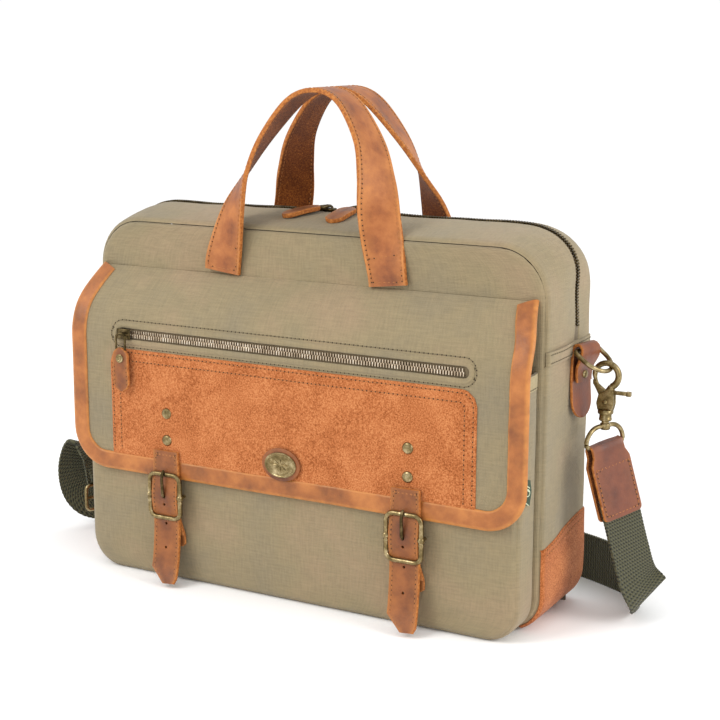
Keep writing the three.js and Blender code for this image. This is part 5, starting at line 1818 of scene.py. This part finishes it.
EDGE = WEBBING_HALF + 0.6 * MM
AT = HOOK.x
FACE = (math.cos(STRAP_TURN), math.sin(STRAP_TURN), 0)
route = [
    (AT + drift(100 * MM), FIT_Y, 100 * MM, *FACE), (AT + drift(end_low.z), FIT_Y, end_low.z, *FACE),
    (AT + drift(58 * MM), FIT_Y, 58 * MM, *FACE),
    (AT + drift(36 * MM), FIT_Y + 2 * MM, 36 * MM, 0.42, 0.88, 0.1),
    (AT + drift(20 * MM) + 1 * MM, FIT_Y + 10 * MM, 22 * MM, 0.42, 0.7, 0.5),
    (AT + 25 * MM, FIT_Y + 25 * MM, EDGE, 0.2, 0.3, 0.9), (AT + 16 * MM, FIT_Y + 42 * MM, EDGE, 0, 0, 1),
    (AT - 6 * MM, BACK + 26 * MM, EDGE, 0, 0, 1), (SIDE - 26 * MM, BACK + 46 * MM, EDGE, 0, 0, 1),
    (SIDE / 2, BACK + 63 * MM, EDGE, 0, 0, 1), (0, BACK + 68 * MM, EDGE, 0, 0, 1),
    (-SIDE / 2, BACK + 58 * MM, EDGE, 0, 0, 1), (-SIDE + 10 * MM, BACK + 36 * MM, EDGE, 0, 0, 1),
    (-AT - 16 * MM, FIT_Y + 24 * MM, EDGE, 0, 0, 1),
    (-AT - 36 * MM, FIT_Y - 4 * MM, EDGE + 6 * MM, 0.1, 0.2, 1),
    (-AT - 44 * MM, FIT_Y - 10 * MM, EDGE + 30 * MM, 0.35, 0.75, 0.5),
    (-AT - 40 * MM, FIT_Y - 5 * MM, EDGE + 54 * MM, 0.4, 0.9, 0),
    (-AT - 24 * MM, FIT_Y - 4 * MM, EDGE + 48 * MM, 0.4, 0.9, 0),
    (-AT - 18 * MM, FIT_Y - 4 * MM, 44 * MM, 0.4, 0.9, 0),
]
shoulder_line = smooth_line(route, 14)
band("shoulder_webbing_band", shoulder_line, "shoulder_webbing")
adjuster_line = smooth_line([
    (-AT - drift(100 * MM), FIT_Y, 100 * MM, *FACE), (-AT - drift(end_low.z), FIT_Y, end_low.z, *FACE),
    (-AT - drift(64 * MM), FIT_Y - 1 * MM, 64 * MM, *FACE), (-AT - 14 * MM, FIT_Y - 3 * MM, 48 * MM, *FACE),
    (-AT - 14 * MM, FIT_Y - 4 * MM, 42 * MM, *FACE)], 12)
band("adjuster_webbing_band", adjuster_line, "adjuster_webbing")
slide_low, slide_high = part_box("slide_adjuster")
middle = (slide_low + slide_high) / 2
half_x, half_z = 21.6 * MM, (slide_high.z - slide_low.z) / 2 - 1.7 * MM
slide = [rod("frame", rounded_loop(half_x, -half_z, half_z, 4 * MM, 0), 1.7 * MM, True),
         rod("bar", [(-half_x, 0, 0), (0, 0, 0), (half_x, 0, 0)], 1.6 * MM)]
turned_with_strap = Matrix.Translation(middle) @ Matrix.Rotation(STRAP_TURN, 4, "Z")
slide = moved(joined("slide_adjuster_wire", slide), turned_with_strap)
settle(slide, [brass], "bag", ["slide_adjuster"], angle=60)
print("shoulder webbing", round(shoulder_line.length, 3), "m")
print("adjuster webbing", round(adjuster_line.length, 3), "m")

# %% [markdown]
# ## Corner patches, divider and label
# Suede guards the lower corners of the sides. Inside, a padded divider makes a place for a laptop;
# it is two layers of cotton over foam, quilted in upright channels. A small woven tab is caught in
# the pocket's side seam, with a plain pattern and no name.

# %% Corner patches
patch_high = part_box("corner_patch_right")[1]
for side, name in ((1, "right"), (-1, "left")):
    last = MOUTH + 5 * MM

    def corner_place(a, y):
        share = (y - FRONT) / (BACK - FRONT)
        first = MOUTH - patch_high.z + 12 * MM * (1 - share) ** 1.5
        along = first + (last - first) * a
        s = along if side > 0 else trough.length - along
        edge = min(a * (last - first), (1 - a) * (last - first))
        drop = rolled(y - FRONT - SEAM_DEPTH) + rolled(BACK - SEAM_DEPTH - y)
        return on_trough(s, y, 1.3 * MM - drop - rolled(edge, 1.1 * MM, 1.6 * MM))

    along = [k / 28 for k in range(29)]
    along = sorted(along + [0.004, 0.009, 0.016, 0.984, 0.991, 0.996])
    guard = sheet(f"corner_patch_{name}_hide", along if side > 0 else along[::-1],
                  stations(FRONT + SEAM_DEPTH, BACK - SEAM_DEPTH, 5 * MM), corner_place)
    settle(thicken(guard, 0.9 * MM), [suede], "bag", [f"corner_patch_{name}"])
    rows = []
    for inset in (0.022, 0.085):
        line = Line([corner_place(inset, y * MM) for y in range(-40, 41, 3)])
        rows += seam_spots(line, X * side)
    settle(stitches(f"corner_patch_{name}_stitches", rows), [tan_thread, painted_hole_shade], "bag")

# %% Padded divider
divider_low, divider_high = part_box("laptop_divider")
divider_middle = (divider_low + divider_high) / 2
divider_size = divider_high - divider_low


def divider_place(x, turn):
    """Round the section of the pad: up its front, over its top and down its back."""
    angle = 2 * math.pi * turn
    high = -math.cos(angle)
    end = math.sqrt(max(0.0, 1 - min(abs(x) / (divider_size.x / 2), 1) ** 24))
    channel = 1 - 0.32 * math.exp(-(((x + 0.5) % (48 * MM) - 24 * MM) / (3 * MM)) ** 2)
    thick = divider_size.y / 2 * (1 - abs(high) ** 10) * end * channel
    flat_z = math.copysign(abs(high) ** 0.55, high) * (0.985 + 0.015 * end)
    return Vector((x, divider_middle.y + math.copysign(thick, -math.sin(angle)),
                   divider_middle.z + flat_z * divider_size.z / 2))


pad = sheet("laptop_divider_pad", stations(-divider_size.x / 2, divider_size.x / 2, 4 * MM, (0.3, 0.8, 1.8)),
            [k / 72 for k in range(73)], divider_place)
mend(pad, 0.05 * MM)
settle(pad, [lining], "bag", ["laptop_divider"])

# %% Woven label in the pocket's side seam
LABEL_Z = 117 * MM


def label_place(a, z, lift=0.0):
    """a runs back from the pocket's front seam."""
    curl = 0.5 * MM * math.sin(z / (3 * MM)) + 0.08 * a
    return Vector((POCKET_SIDE + 1.6 * MM + curl + lift, pocket_near + 1.5 * MM + a, z - 0.25 * a))


label = sheet("side_label", stations(0, 12 * MM, 1.5 * MM, (0.5,)),
              stations(LABEL_Z - 9.5 * MM, LABEL_Z + 9.5 * MM, 1.5 * MM, (0.5,)), label_place)
settle(thicken(label, 0.7 * MM), [label_weave], "bag")
marks = []
for bottom in (-6.5, 3.5, 6.5):
    line = [label_place((1.5 + 1.8 * k) * MM, LABEL_Z + (bottom - 0.7 * k) * MM, 0.25 * MM) for k in range(5)]
    marks.append(rod("stroke", line, 0.45 * MM))
circle = [label_place((6 + 2.6 * math.cos(t)) * MM, LABEL_Z + 2.6 * math.sin(t) * MM, 0.25 * MM)
          for t in (2 * math.pi * k / 16 for k in range(16))]
marks.append(rod("ring", circle, 0.4 * MM, True))
settle(joined("side_label_marks", marks), [label_mark], "bag")
